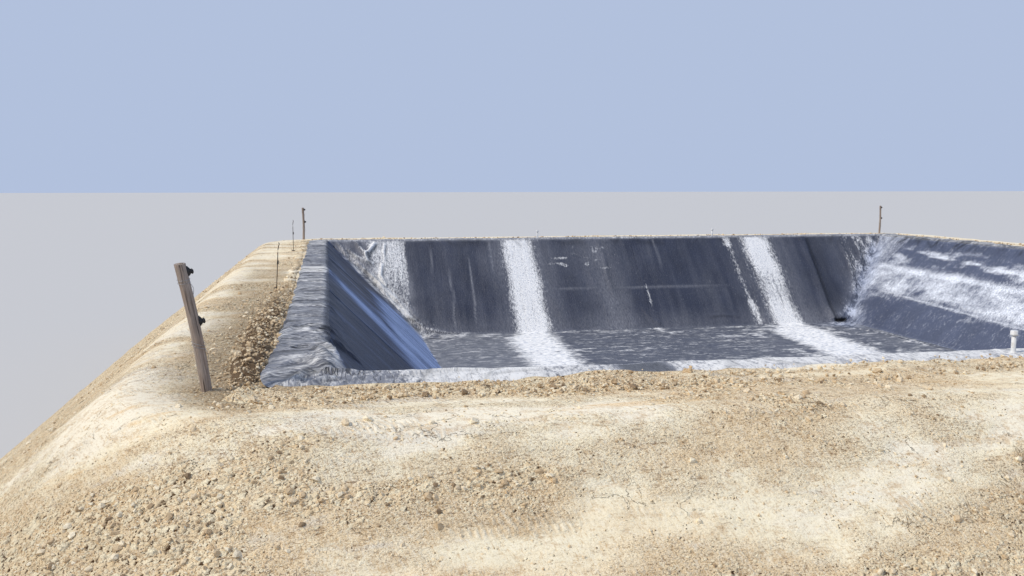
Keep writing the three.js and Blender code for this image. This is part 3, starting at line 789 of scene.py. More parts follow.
def membrane_material(name, grain, streaks, clean, film, white, relief, soft, contrast, specular=0.3, lines=0):
    """Thin sheet with fine creases along its lay, a coat of film, and dust that breaks up into specks, darkened
    by painted shade from its points and, on the apron, along its creases.
    """
    s = Shader(name)
    lay, grey = s.attribute("lay", "Vector"), s.attribute("grey")
    crinkle = s.noise(lay, (*grain, 1), 3, 0.65, 0.6)
    speck = s.noise(lay, (2.6 * grain[0], 2.6 * grain[1], 1), 2, 0.6, 0.4)
    streak = s.noise(lay, (*streaks, 1), 4, 0.6, 0.25)
    cloud = s.noise(lay, (1.6, 0.9, 1), 5, 0.6)
    mixed = crinkle * 0.45 + speck * 0.30 + streak * 0.25
    amount = ((mixed - 0.5) * contrast + s.attribute("dust")).spread(0.5 - soft, 0.5 + soft)
    coat = s.attribute("film") * crinkle.spread(0.30, 0.70, 0.5, 1.5)
    cool = grey * -1.0
    film = s.layered(film, (grey, FILM), (cool, COOL_FILM))
    base = s.layered(dim(clean, 0.88), (cloud.spread(0.3, 0.7), dim(clean, 1.25)),
                     (coat.math("MINIMUM", coat, 1.0), film), (speck.spread(0.58, 0.72, 0, 0.30), film))
    top = s.layered((0.60 * white[0], 0.64 * white[1], 0.72 * white[2]), (speck.spread(0.36, 0.54), white),
                    (grey, dim(WHITE_DUST, 0.85)), (cool, COOL_DUST))
    height = crinkle + streak * 0.7 + speck * 0.35
    # Painted shade from the points darkens the colour.
    light = 1.0 - s.attribute("gloom")
    # On the apron, dark lines along the creases are painted shade, and grooves in the bump.
    if lines:
        wrinkled = s.attribute("crinkle")
        crease = abs(s.noise(lay, (11, 1.6, 1), 3, 0.55, 0.5) - 0.47).spread(0.0, 0.022, 1, 0)
        crease = crease * cloud.spread(0.40, 0.55, 0.25, 1) * wrinkled
        light = light * (1.0 - crease * lines)
        height = (height - crease * 0.8) * wrinkled
    lit = s.node("ShaderNodeCombineXYZ", {0: light, 1: light, 2: light})
    colour = s.mix(1.0, s.mix(amount, base, top), lit, "MULTIPLY")
    return s.finish(colour, amount.spread(0.0, 1.0, 0.50, 0.9), height, 0.012 * relief, specular)


def soil_material(name):
    """Dry stony clay: pale crust, browner patches, set stones with painted shadows on their sides away from the
    light, cracks and crevices darkened with painted shade, and track marks with painted shade in their grooves.
    """
    s = Shader(name)
    where, tone, crust = s.places(), s.attribute("tone"), s.attribute("crust")
    wide = s.vector("MULTIPLY", where, (0.40, 1.3, 1.3))
    moved = s.vector("ADD", wide, (9.0, 4.0, 2.0))
    laid = s.vector("MULTIPLY", where, (1, 1, 2.2))
    turned_round = s.node("ShaderNodeMapping", {"Vector": where, "Rotation": (0, 0, -0.42)})
    stain = s.noise(moved, 1.3, 8, 0.66, 0.5)
    mottle = s.noise(s.vector("MULTIPLY", where, (0.6, 1, 1)), 10.0, 6, 0.74)
    crumb = s.noise(laid, 42, 3, 0.65)
    fine = s.noise(laid, 105, 2, 0.7)
    comb = s.noise(turned_round, (52, 7, 26), 5, 0.68, 0.9)
    stroke = s.noise(laid, (16, 44, 44), 3, 0.6, 0.4).spread(0.43, 0.35, 0, 0.75)
    pressed = s.noise(wide, 1.0, 8, 0.62, 0.3) + (crust - tone) * 0.15
    grit = 1.0 - crust * 0.70
    height = (mottle * 2.0 + crumb * 1.2) * grit
    colour = s.layered(
        MID,
        (pressed.spread(0.40, 0.58), PALE),
        (pressed.spread(0.58, 0.68, 0, 0.8), WHITE_CLAY),
        (stain.spread(0.57, 0.63, 0, 0.60), GREY_CLAY),
        (stain.spread(0.40, 0.35, 0, 0.60), OCHRE),
        (mottle.spread(0.48, 0.38, 0, 0.55), SHADE),
        (tone * 0.30, SHADE),
        # Dark specks of crumb and fine grain: painted shade between the crumbs, with the grain's own darker
        # bits.
        (crumb.spread(0.45, 0.35, 0, 0.80) * grit, DARK),
        (fine.spread(0.46, 0.36, 0, 0.75) * grit, DARK),
        (fine.spread(0.53, 0.63, 0, 0.55), WHITE_CLAY),
        (comb.spread(0.44, 0.34, 0, 0.60), SHADE),
        (comb.spread(0.54, 0.64, 0, 0.45), WHITE_CLAY),
        (stroke * mottle.spread(0.56, 0.42, 0.15, 1) * grit, DARK))

    jitter = s.vector("MULTIPLY", s.noise(laid, 45, 2, output="Color"), (0.03, 0.03, 0.03))
    shaken = s.vector("ADD", laid, jitter)
    clusters = s.noise(laid, 5.0, 3, 0.6)
    gathered = tone * 0.6 + clusters.spread(0.3, 0.7, -0.26, 0.26)
    for scale, size, rare in STONES:
        cell = s.node("ShaderNodeTexVoronoi", {"Vector": shaken, "Scale": scale}, "Distance")
        draw = s.node("ShaderNodeSeparateColor", {0: cell.output("Color")})
        away = s.vector("SUBTRACT", shaken, cell.output("Position"))
        side = s.vector("DOT_PRODUCT", away, (0.85 * scale, -0.5 * scale, 0.0), "Value")
        stone = (draw + gathered).spread(rare, rare + 0.08)
        face = s.mix(draw.output(1).spread(0.1, 0.9), MID, PALE)
        # Painted shadow on each stone's side away from the light.
        shadow = side.spread(0.12, 0.40) * draw.output(2).spread(0.1, 0.6, 0.35, 1)
        colour = s.layered(colour, (stone * 0.85, face), (shadow * stone, dim(DARK, 0.45)))
        height = height + cell.spread(0.6, 0.1) * stone * size

    squiggle = s.noise(laid, 13.0, 4, 0.65, 0.7)
    crevice = abs(squiggle - 0.5).spread(0.0, 0.020, 0.85, 0) * clusters.spread(0.46, 0.58)
    line = s.noise(where, 1.7, 6, 0.58, 0.5)
    crack = abs(line - 0.5).spread(0.0, 0.004, 1, 0) * s.noise(moved, 2.6, 3).spread(0.55, 0.62)
    waves = {"Scale": 6.5, "Distortion": 5.0, "Detail": 4.0, "Detail Scale": 1.4}
    track = s.node("ShaderNodeTexWave", {"Vector": turned_round, **waves}, "Fac")
    driven = s.noise(moved, 2.2, 4, 0.65).spread(0.56, 0.64)
    marks = track * driven * mottle.spread(0.42, 0.52)
    colour = s.layered(
        colour,
        # Painted shade in crevices, cracks and the grooves of the track marks.
        (crevice * tone.spread(0.0, 0.5, 0.15, 1), dim(DARK, 0.55)),
        (crack * 0.35, DARK),
        (track.spread(0.35, 0.05, 0, 0.35) * driven, SHADE),
        (marks.spread(0.4, 1.0) * 0.25, WHITE_CLAY),
        # Darker soil and painted shade from the points' attribute.
        (s.attribute("damp"), dim(DARK, 0.45)))
    return s.finish(colour, 0.95, height + (marks * 0.4 - crack), 0.013, 0.15)


def clod_material():
    """Loose stones and clods, from pale to brown by their own tone."""
    s = Shader("soil_clods")
    dark = linear(112, 90, 70)
    grain, tone = s.noise(s.places(), 70, 4, 0.7), s.attribute("tone")
    colour = s.layered(linear(248, 234, 204), (tone.spread(0.0, 0.55), linear(216, 190, 152)),
                       (tone.spread(0.70, 1.0, 0, 0.8), dark), (grain.spread(0.46, 0.34, 0, 0.45), dark))
    return s.finish(colour, 0.95, grain, 0.008, 0.15)


def timber_material():
    """Weathered round timber, grey on the ridges of the grain and brown in its cracks."""
    s = Shader("weathered_timber")
    lay = s.attribute("lay", "Vector")
    grain = s.noise(lay, (120, 4.0, 1), 8, 0.68, 0.6)
    stain = s.noise(lay, (9, 4, 1), 5)
    line = s.noise(lay, (34, 1.3, 1), 4, 0.55, 0.9).spread(0.37, 0.42, 1, 0)
    colour = s.layered(
        linear(94, 82, 74),
        (grain.spread(0.30, 0.66), linear(184, 168, 155)),
        (stain.spread(0.45, 0.72, 0, 0.55), linear(138, 112, 88)),
        (line * 0.85, linear(46, 38, 32)))
    return s.finish(colour, grain.spread(0.3, 0.7, 0.75, 0.95), grain - line * 0.9, 0.005)


def plain_material(name, base, worn, roughness, metallic=0.0, scale=60.0):
    """A made surface with a little dust and wear in patches."""
    s = Shader(name)
    where = s.places()
    wear = s.noise(where, scale, 6, 0.6)
    rough = wear.spread(0.35, 0.7, roughness, min(1.0, roughness + 0.3))
    colour = s.mix(wear.spread(0.48, 0.68), base, worn)
    return s.finish(colour, rough, s.noise(where, scale * 5, 3), 0.0006, metallic=metallic)


# By name: grain, streaks, colours of the clean sheet, its film and its dust, relief, softness and contrast
MEMBRANE = {
    "ends": membrane_material("membrane_end_slopes", (25, 9), (9, 0.9), linear(50, 55, 71), FILM,
                              WHITE_DUST, 1.4, 0.20, 2.4),
    # The left slope's copy of the sheet is darker and bluer: painted shade of a slope facing away from the
    # light, tinted by the sky.
    "left": membrane_material("membrane_left_slope_shaded", (20, 1.6), (6, 0.45), linear(30, 37, 56),
                              linear(128, 146, 188), linear(182, 197, 228), 0.7, 0.34, 2.2, specular=0.2),
    "right": membrane_material("membrane_right_slope", (20, 7.0), (5, 1.2), linear(68, 75, 96),
                               linear(160, 168, 188), linear(244, 247, 252), 0.9, 0.32, 1.8),
    "floor": membrane_material("membrane_floor", (6.4, 3.2), (2.6, 0.9), linear(52, 58, 76),
                               linear(156, 157, 160), WHITE_DUST, 3.4, 0.26, 2.4),
    "apron": membrane_material("membrane_apron", (26, 9), (9, 1.2), linear(76, 78, 87),
                               linear(163, 165, 172), linear(240, 239, 238), 2.6, 0.20, 2.6, lines=0.85),
}
CLAY, FILL = soil_material("stony_clay"), soil_material("loose_fill")
CLODS = clod_material()
TIMBER = timber_material()
BLACK_PLASTIC = plain_material("black_plastic", linear(24, 24, 26), linear(66, 62, 58), 0.45)
WIRE = plain_material("galvanised_wire", linear(176, 176, 176), linear(110, 100, 90), 0.4, 0.7)
STAKE_STEEL = plain_material("coated_steel", linear(60, 52, 46), linear(120, 82, 56), 0.5, 0.4, 90.0)
PIPE = plain_material("vent_pipe", linear(224, 224, 222), linear(196, 191, 182), 0.35, 0.0, 14.0)


# Lining pieces

def lining_piece(name, look, rests_on, x, y, run, down, lift):
    """One cut of the lining over a grid of the plan."""
    plain = lining_point(x, y)
    normals = lining_normal(x, y, plain)
    row, column = x.shape[0] // 2, x.shape[1] // 2
    turn = np.cross(plain[row, column + 1] - plain[row, column], plain[row + 1, column] - plain[row, column])
    faces = grid_faces(*x.shape)
    if turn[2] < 0:
        faces = faces[:, ::-1]
    thing = new_object(f"{name}_sheet", plain + lift[..., None] * base_normal(x, y), faces, MEMBRANE[look])
    thing.data.normals_split_custom_set_from_vertices(normals.reshape(-1, 3))
    spot = Spot(x, y)
    # The sheet's points carry their dust, film and painted shade.
    add_values(thing, lay=(y, x) if look == "floor" else (run, down), **dust_and_film(spot), gloom=gloom(spot))
    if look == "apron":
        add_values(thing, crinkle=crinkle(spot))
    widths = np.abs(run[:, -1] - run[:, 0])
    finish_piece(thing, "apron_membrane" if look == "apron" else "membrane", name)


def flap_lift(places, start_flap, end_flap, start, end):
    """Lift of a strip: its last edge lies over the next one, and its first edge lies under the one before."""
    over = FLAP_LIFT * smoothstep(end - 0.03, end + 0.01, places)
    under = FLAP_TUCK * (1 - smoothstep(start, start + 0.02, places))
    return over * end_flap - under * start_flap


def strip_places(start, end, overlap, step):
    """Places across a strip, with the flap's edge turned down at the end where it overlaps."""
    flap = [*(end + FLAP * FLAP_SHARES), end + FLAP + 0.002] if overlap else []
    return np.concatenate([steps(start, end, step), flap])


def build_floor():
    half = HALF_X - SLOPE_RUN
    ends = [-half] + [x for x in SEAMS_X if abs(x) < half] + [half]
    levels = steps(-(HALF_Y - SLOPE_RUN), HALF_Y - SLOPE_RUN, FLOOR_STEP)
    for i, (start, end) in enumerate(zip(ends, ends[1:])):
        overlap = end < half
        x, y = np.meshgrid(strip_places(start, end, overlap, FLOOR_STEP), levels)
        lift = flap_lift(x, i > 0, overlap, start, end)
        if overlap:
            lift[:, -1] = FLAP_SKIRT
        lining_piece(f"floor_strip_{i + 1}", "floor", "floor_formation", x, y, x, y, lift)


def build_slope(side, look, names, seams):
    """The cuts on one slope, from its seams in the side's own direction. Each ends at a seam or at a valley."""
    reach = contour_end(side, SHOULDER_END)
    step = HIDDEN_STEP if side == "near" else LINING_STEP
    bounds = [-reach, *seams, reach]
    for i, (name, start, end) in enumerate(zip(names, bounds, bounds[1:])):
        foot = max(-SLOPE_RUN, start - HALF[side] + 0.004, -end - HALF[side] + 0.004)
        rows = steps(foot, SHOULDER_END, step * SLOPE_SIN)[:, None]
        valley = contour_end(side, rows)
        overlap = i < len(names) - 1
        places = strip_places(start, end, overlap, step)
        low = -valley if i == 0 else np.maximum(start, -valley)
        high = np.minimum(places[-1], valley) if overlap else valley
        run = low + (high - low) * ((places - places[0]) / (places[-1] - places[0]))
        out = np.broadcast_to(rows, run.shape)
        lift = flap_lift(run, i > 0, overlap, start, end)
        lift[:, -1] = np.where(run[:, -1] > end + 0.5 * FLAP, FLAP_SKIRT, lift[:, -1])
        lining_piece(name, look, f"{side}_bank", *contour(side, run, out), run, down_the_section(out), lift)


def build_right_slope():
    """Two long cuts, the upper one lapped over the lower."""
    for name, low, high in [("lower", -SLOPE_RUN, RIGHT_SEAM_OUT), ("upper", RIGHT_SEAM_OUT, SHOULDER_END)]:
        rows = steps(low, high, LINING_STEP * SLOPE_SIN)
        if name == "upper":
            flap = low - FLAP * SLOPE_SIN * FLAP_SHARES[::-1]
            rows = np.concatenate([[flap[0] - 0.0015], flap, rows])
        columns = int(2 * contour_end("right", SHOULDER_END) / LINING_STEP)
        run = contour_end("right", rows)[:, None] * np.linspace(-1, 1, columns)
        out = np.broadcast_to(rows[:, None], run.shape)
        lift = np.zeros(run.shape)
        if name == "upper":
            lift = FLAP_LIFT * smoothstep(low + 0.03, low - 0.01, out)
            lift[0] = FLAP_SKIRT
        lining_piece(f"right_slope_{name}_strip", "right", "right_bank", *contour("right", run, out), run,
                     down_the_section(out), lift)


def corner_reach(side, run):
    """The sheet reaches further out round the near left corner, as far on the one side as on the other."""
    toward = {"near": -run, "left": run}.get(side, np.zeros(np.shape(run)))
    return (NEAR_LEFT_EDGE - APRON_EDGE[side]) * smoothstep(HALF[side] - 3.5, HALF[side] - 0.3, toward)


def build_apron(side):
    step = APRON_STEP if side in ("near", "left") else HIDDEN_APRON_STEP
    share = steps(0, 1, step / (APRON_EDGE[side] - SHOULDER_END))[:, None]
    along = np.linspace(-1, 1, int(2 * contour_end(side, 0.2) / step))[None, :]
    wander = 0.03 * fractal(along * HALF[side] / 0.7, 5.0, 87, 3) * (1 - np.abs(along) ** 40)
    edge = APRON_EDGE[side] + wander + corner_reach(side, along * HALF[side])
    out = SHOULDER_END + (edge - SHOULDER_END) * share
    run = contour_end(side, out) * along
    lift = -EDGE_TUCK * smoothstep(edge - 0.07, edge, out) ** 2
    x, y = contour(side, run, out)
    lining_piece(f"{side}_apron", "apron", f"{side}_bank", x, y, run, down_the_section(out), lift)


def build_lining():
    build_floor()
    for side, order, seams in [("near", 1, SEAMS_X), ("far", -1, [-x for x in SEAMS_X[::-1]])]:
        strips = [f"{side}_slope_strip_{i}" for i in range(1, 5)]
        names = [f"{side}_left_corner_piece", *strips, f"{side}_right_corner_piece"]
        build_slope(side, "ends", names[::order], seams)
    build_slope("left", "left", [f"left_slope_strip_{i}" for i in (4, 3, 2, 1)], [-y for y in SEAMS_Y[::-1]])
    build_right_slope()
    for side in APRON_EDGE:
        build_apron(side)


# Earth

def ground_level(out):
    """Plain height of the earth by outward distance: under the lining, over the crest and down the batter."""
    fall = np.maximum(out - CREST_WIDTH, 0)
    soft = np.where(fall < CREST_SOFTNESS, fall**2 / (2 * CREST_SOFTNESS), fall - CREST_SOFTNESS / 2)
    steeper = 1 + 0.5 * CREST_SOFTNESS / (TOE_OUT - CREST_WIDTH - 0.5 * CREST_SOFTNESS)
    outer = BANK_TOP - BATTER_FALL * soft * steeper
    return np.where(out > UNDER_LINING, outer, lining_level(out) - LINING_COVER)


def left_crest(x, y):
    """The browner, looser part of the left crest, toward the near corner."""
    return smoothstep(-8.9, -9.5, x) * smoothstep(4.0, -1.0, y) * (1 - smoothstep(1.2, 1.6, outward(x, y)))


def sunny_batter(x, y):
    """The left bank's outside, which is stonier than the crest; it faces the light, and painted shade makes it
    a little darker and browner.
    """
    return smoothstep(1.1, 2.0, outward(x, y)) * smoothstep(-9.2, -10.2, x)


def ground_patch(x, y):
    """Patches of the ground, from pressed crust below 0 to loose stones above, with a strip of crust."""
    out = outward(x, y)
    strip = 0.25 * band(out, 1.05, 2.1, 0.2) - 0.22 * smoothstep(2.2, 3.0, out)
    fore = smoothstep(1.7, 2.3, out) * smoothstep(-5.5, -7.5, x) * smoothstep(-9.0, -10.0, y)
    patches = fractal(x / 2.0, y / 0.6, 130, 5, 0.62) + 0.16 * fractal(x / 0.5, y / 0.35, 136, 3, 0.6)
    return patches - strip + 0.24 * np.maximum(fore, sunny_batter(x, y)) + 0.44 * left_crest(x, y)


def left_heap(x, y):
    """The strip of clods beside the left apron, which fades away from the near corner."""
    return bell(x + 9.35, 0.50) * smoothstep(-1.0, -6.5, y) * (1 - smoothstep(0.9, 1.4, outward(x, y)))


def stoniness(x, y):
    """Share of loose stones and crumbs on the ground, from 0 for a pressed crust to 1."""
    return np.clip(smoothstep(0.02, 0.42, ground_patch(x, y)) + 0.7 * left_heap(x, y), 0, 1)


# Darker soil on the browner left crest; painted shade between the left heap's clods and on the left batter,
# which faces the light.
def bank_damp(x, y):
    return 0.30 * left_heap(x, y) + 0.28 * left_crest(x, y) + 0.14 * sunny_batter(x, y)


def fill_damp(x, y):
    """Painted shade on the fill: deep in the left heap between its clods, in a line where it meets the left
    sheet's edge, and a little everywhere.
    """
    heap = smoothstep(-8.9, -9.2, x) * smoothstep(-1.0, -6.0, y) * smoothstep(-10.1, -9.7, y)
    past_edge = outward(x, y) - fill_edge("left", -y)
    edge = smoothstep(0.09, 0.02, past_edge) * (x < -HALF_X) * (0.6 + 0.4 * noise(y / 0.15, 1.0, 98))
    return np.maximum(0.05 + 0.85 * heap, 0.75 * edge)


def add_ground(thing, damp):
    """What the soil's colours go by: stones, pressed crust, and darker soil with painted shade."""
    places = np.empty(3 * len(thing.data.vertices), np.float32)
    thing.data.vertices.foreach_get("co", places)
    x, y, _ = places.reshape(-1, 3).astype(float).T
    crust = smoothstep(0.10, -0.25, ground_patch(x, y)) * (1 - left_heap(x, y))
    add_values(thing, tone=stoniness(x, y), crust=crust, damp=damp(x, y))
    return x, y


def ground_bumps(x, y, out):
    """Unevenness of the earth: ruts and lumps on the crest, rills and lumps on the batter."""
    crest = 0.020 * fractal(x / 0.9, y / 0.9, 131, 4, 0.6)
    lumps = 0.045 * fractal(x / 1.3, y / 0.8, 132, 5, 0.6)
    clods = 0.040 * stoniness(x, y) * np.maximum(fractal(x / 0.22, y / 0.22, 133, 3, 0.65) + 0.1, 0)
    ruts = 0.006 * (ridge(x / 2.5, (y + 0.15 * noise(x / 1.5, 2.0, 134)) / 0.5, 135) - 0.4)
    batter = smoothstep(CREST_WIDTH - 0.1, CREST_WIDTH + 0.5, out)
    here = smoothstep(UNDER_LINING, 0.5, out) * (1 - smoothstep(TOE_OUT - 0.35, TOE_OUT, out))
    return here * ((1 - batter) * (crest + ruts) + batter * lumps + clods)


def earth_height(x, y, out=None):
    """Height of the earth with its bumps at places, whose outward distance may be given."""
    out = outward(x, y) if out is None else out
    return np.maximum(ground_level(out) + ground_bumps(x, y, out), 0)


def earth_point(side, run, out):
    x, y = contour(side, run, out)
    return np.stack([x, y, earth_height(x, y, out)], -1)


def build_bank(side):
    """One bank as a closed body, mitred on the corner diagonals."""
    under = [-SLOPE_RUN - 0.02, -1.6, -0.8, -0.3, -0.12, -0.02, 0.08, 0.18, 0.24]
    batter = steps(CREST_WIDTH, TOE_OUT, EARTH_STEP * 0.85)[1:]
    out = np.concatenate([under, steps(0.3, CREST_WIDTH, EARTH_STEP), batter])[:, None]
    columns = int(2 * contour_end(side, CREST_WIDTH) / (EARTH_STEP if side == "near" else FAR_EARTH_STEP))
    run = contour_end(side, out) * np.linspace(-1, 1, columns)
    points = earth_point(side, run, np.broadcast_to(out, run.shape))
    points = np.concatenate([points, points[[-1, 0]] * (1, 1, 0)])
    thing = new_object(f"{side}_bank_earth", points, grid_faces(len(points), columns, closed_rows=1), CLAY)
    tidy(thing)
    normals = surface_normal(earth_height, *add_ground(thing, bank_damp), 0.03)
    thing.data.normals_split_custom_set_from_vertices(normals)
    finish_piece(thing, "compacted_clay", f"{side}_bank")


# The ridge of fill along the lining's edge: outward start and end, height, and wander over the lining
FILL_FORM = {
    "near": (0.385, 1.02, 0.022, 0.06),
    "right": (0.42, 0.85, 0.030, 0.04),
    "far": (0.42, 0.85, 0.030, 0.04),
    "left": (0.48, 0.82, 0.026, 0.07),
}
# Mounds of soil on the near ridge: place along X, width and height
MOUNDS = [(-6.30, 0.30, 0.060), (-5.45, 0.14, 0.045), (-7.35, 0.20, 0.025), (-3.72, 0.30, 0.060),
          (-3.20, 0.22, 0.055), (-2.50, 0.25, 0.045), (-1.60, 0.4, 0.04), (0.4, 0.5, 0.05), (3.1, 0.6, 0.05)]


def fill_edge(side, run):
    """Where the fill's inner edge lies, which wanders over the lining."""
    start, _, _, lap = FILL_FORM[side]
    wave = 0.6 * fractal(run / 0.7, 3.0, 9.0, 3) + 0.4 * noise(run / 0.16, 2.0, 9.0)
    return start + lap * wave + corner_reach(side, run)


def fill_end(side, run):
    """Where the fill's outer edge lies. On the left it narrows away from the near corner."""
    narrow = 0.13 * smoothstep(6.0, 1.5, run) if side == "left" else 0.0
    return FILL_FORM[side][1] - narrow + 0.08 * fractal(run / 0.6, 8.0, 4.0, 3)


def fill_height(side, x, y, out, start, end):
    """Height of the fill over what it lies on."""
    share = np.clip((out - start) / (end - start), 0, 1)
    high = np.full(np.shape(x), FILL_FORM[side][2])
    if side == "near":
        for middle, width, height in MOUNDS:
            high = high + 1.25 * height * bell(x - middle, width) * (1 - share) ** 0.7
    if side == "left":
        high = high + 0.045 * smoothstep(-1.5, -6.0, y) - 0.05 * smoothstep(-9.3, -9.9, y)
    wave = 0.85 + 0.5 * fractal(x / 0.5, y / 0.5, 6.0, 3, 0.6)
    lumps = (0.016 + 0.035 * left_heap(x, y)) * np.maximum(fractal(x / 0.10, y / 0.10, 7.0, 3, 0.6) + 0.25, 0)
    return np.clip(np.sin(math.pi * share), 0, 1) ** 0.5 * (high * wave + lumps)


def build_fill(side):
    """A ridge of loose soil along the lining's edge, closed below."""
    step = FILL_STEP if side in ("near", "left") else HIDDEN_FILL_STEP
    shares = np.linspace(0, 1, int((FILL_FORM[side][1] - FILL_FORM[side][0]) / step) + 4)[:, None]
    columns = int(2 * contour_end(side, 0.6) / step)
    along = np.linspace(-1, 1, columns)[None, :]
    start, end = (edge(side, along * contour_end(side, 0.5)) for edge in (fill_edge, fill_end))
    out = start + (end - start) * shares
    run = contour_end(side, out) * along
    x, y = contour(side, run, out)
    sheet_end = APRON_EDGE[side] + corner_reach(side, run)
    over_sheet = smoothstep(sheet_end + 0.03, sheet_end - 0.06, out)
    under = BANK_TOP - 0.012 + (CREST_Z + 0.016 - BANK_TOP) * over_sheet
    top = under + 0.002 + fill_height(side, x, y, out, start, end)
    top[[0, -1]] = under[[0, -1]] - 0.006
    lower = np.stack([x, y, np.minimum(under, top) - 0.03], -1)[::-1]
    points = np.concatenate([np.stack([x, y, top], -1), lower])
    thing = new_object(f"{side}_fill_ridge", points, grid_faces(len(points), columns, closed_rows=1), FILL)
    tidy(thing)
    add_ground(thing, fill_damp)
    finish_piece(thing, "trench_fill", f"{side}_trench_fill")


def ball(subdivisions):
    """Points and triangles of a ball of radius 1, or of an eight-sided one."""
    if subdivisions == 0:
        points = np.array([(1, 0, 0), (0, 1, 0), (-1, 0, 0), (0, -1, 0), (0, 0, 1), (0, 0, -1)], float)
        faces = [(i, (i + 1) % 4, 4) for i in range(4)] + [((i + 1) % 4, i, 5) for i in range(4)]
        return points, np.array(faces)
    mesh = bmesh.new()
    bmesh.ops.create_icosphere(mesh, subdivisions=subdivisions, radius=1.0)
    points = np.array([v.co for v in mesh.verts])
    faces = np.array([[v.index for v in f.verts] for f in mesh.faces])
    mesh.free()
    return points, faces


def random_turns(rng, count):
    """Random rotations as matrices, from random quaternions."""
    w, x, y, z = unit(rng.normal(size=(count, 4))).T
    rows = [[1 - 2 * (y * y + z * z), 2 * (x * y - z * w), 2 * (x * z + y * w)],
            [2 * (x * y + z * w), 1 - 2 * (x * x + z * z), 2 * (y * z - x * w)],
            [2 * (x * z - y * w), 2 * (y * z + x * w), 1 - 2 * (x * x + y * y)]]
    return np.moveaxis(np.array(rows), 2, 0)


def clod_cloud(name, centres, sizes, tones, rng, subdivisions):
    """Many clods and stones as one mesh, each a lumpy ball of its own."""
    points, faces = ball(subdivisions)
    count = len(centres)
    stretch = rng.uniform(0.55, 1.25, (count, 1, 3))
    lump = np.clip(1 + 0.26 * rng.normal(size=(count, len(points), 1)), 0.6, 1.4)
    body = points * stretch * lump * sizes[:, None, None]
    body = np.einsum("nij,nkj->nki", random_turns(rng, count), body) * (1, 1, 0.8) + centres[:, None, :]
    all_faces = (faces + (np.arange(count) * len(points))[:, None, None]).reshape(-1, 3)
    thing = new_object(name, body, all_faces, CLODS, smooth=False)
    add_values(thing, tone=np.repeat(tones, len(points)))
    finish_piece(thing, "trench_fill")


# Loose stones and clods by side: how many, their outward range, their size range, the share of the ground's
# stoniness they follow, and the corners of each: 0 for an eight-sided crumb, 1 and 2 for rounder ones
FAR_CLODS = [(500, (0.42, 0.85), (0.008, 0.035), 0, 1), (500, (1.0, 5.0), (0.014, 0.060), 1, 1)]
CLOD_GROUPS = {
    "near": [(1500, (0.36, 1.0), (0.006, 0.022), 0, 1), (90, (0.36, 1.0), (0.020, 0.034), 0, 2),
             (9000, (0.5, 2.7), (0.005, 0.018), 1, 0), (2900, (0.9, 3.2), (0.009, 0.036), 1, 1)],
    "left": [(2000, (0.46, 0.90), (0.006, 0.022), 0, 1), (60, (0.48, 0.80), (0.020, 0.034), 0, 2),
             (3600, (0.5, 1.8), (0.005, 0.014), 1, 0), (500, (0.8, 3.0), (0.010, 0.034), 1, 1)],
    "far": FAR_CLODS,
    "right": FAR_CLODS,
}


def build_clods(side, number):
    rng = np.random.default_rng(200 + number)
    for group, (count, (low, high), (small, large), picky, corners) in enumerate(CLOD_GROUPS[side]):
        out = low + (high - low) * rng.uniform(0, 1, 4 * count)
        run = contour_end(side, out) * rng.uniform(-1, 1, 4 * count)
        x, y = contour(side, run, out)
        wish = 0.04 + stoniness(x, y) ** 1.5 if picky else np.ones(x.shape)
        if side == "left" and not picky:
            wish = 0.03 + 0.97 * smoothstep(0.0, -6.5, y)
        keep = np.flatnonzero(rng.uniform(0, 1, len(x)) < wish)[:count]
        out, run = out[keep], run[keep]
        sizes = small * (large / small) ** (rng.uniform(0, 1, len(keep)) ** 1.7)
        centres = earth_point(side, run, out)
        start, end = fill_edge(side, run), fill_end(side, run)
        base = np.where(out < APRON_EDGE[side] + 0.02, CREST_Z, BANK_TOP)
        on_fill = base + fill_height(side, centres[:, 0], centres[:, 1], out, start, end)
        level = np.where((out > start) & (out < end), on_fill, centres[:, 2]) + 0.15 * sizes
        centres[:, 2] = np.maximum(level, 0.9 * sizes)
        tones = rng.uniform(0, 1, len(keep)) ** (1.6 if picky or side == "near" else 0.7)
        clod_cloud(f"{side}_clods_{group + 1}", centres, sizes, tones, rng, corners)


def build_earth():
    for side in APRON_EDGE:
        build_bank(side)
        build_fill(side)
    for number, side in enumerate(CLOD_GROUPS):
        build_clods(side, number)
    formation = bpy.data.objects["floor_formation"]
    formation.data.materials.clear()
    formation.data.materials.append(CLAY)


# Posts, stakes and vents

def closed_rings(name, rings, material):
    """A piece from rings of points, closed at both ends."""
    thing = new_object(name, rings, grid_faces(*rings.shape[:2], closed_columns=1), material)
    tidy(thing)
    return thing


def turned(name, profile, material, sides=40):
    """A turned piece from a profile of radius and height."""
    angles = np.linspace(0, 2 * math.pi, sides, endpoint=False)
    radius, height = np.array(profile, float).T[..., None]
    rings = np.stack([radius * np.cos(angles), radius * np.sin(angles), height + 0 * angles], -1)
    return closed_rings(name, rings, material)


def tube(name, route, radius, material, sides):
    """A round rod or wire along a route of points."""
    route = [Vector(p) for p in route]
    rings = []
    for before, point, after in zip([route[0]] + route, route, route[1:] + [route[-1]]):
        ahead = (after - before).normalized()
        across = ahead.cross(Vector((0, 0, 1)))
        across = across.normalized() if across.length > 0.05 else ahead.cross(Vector((1, 0, 0))).normalized()
        above = across.cross(ahead).normalized()
        for k in range(sides):
            angle = 2 * math.pi * k / sides
            rings.append(point + radius * (math.cos(angle) * across + math.sin(angle) * above))
    return closed_rings(name, np.array(rings).reshape(len(route), sides, 3), material)


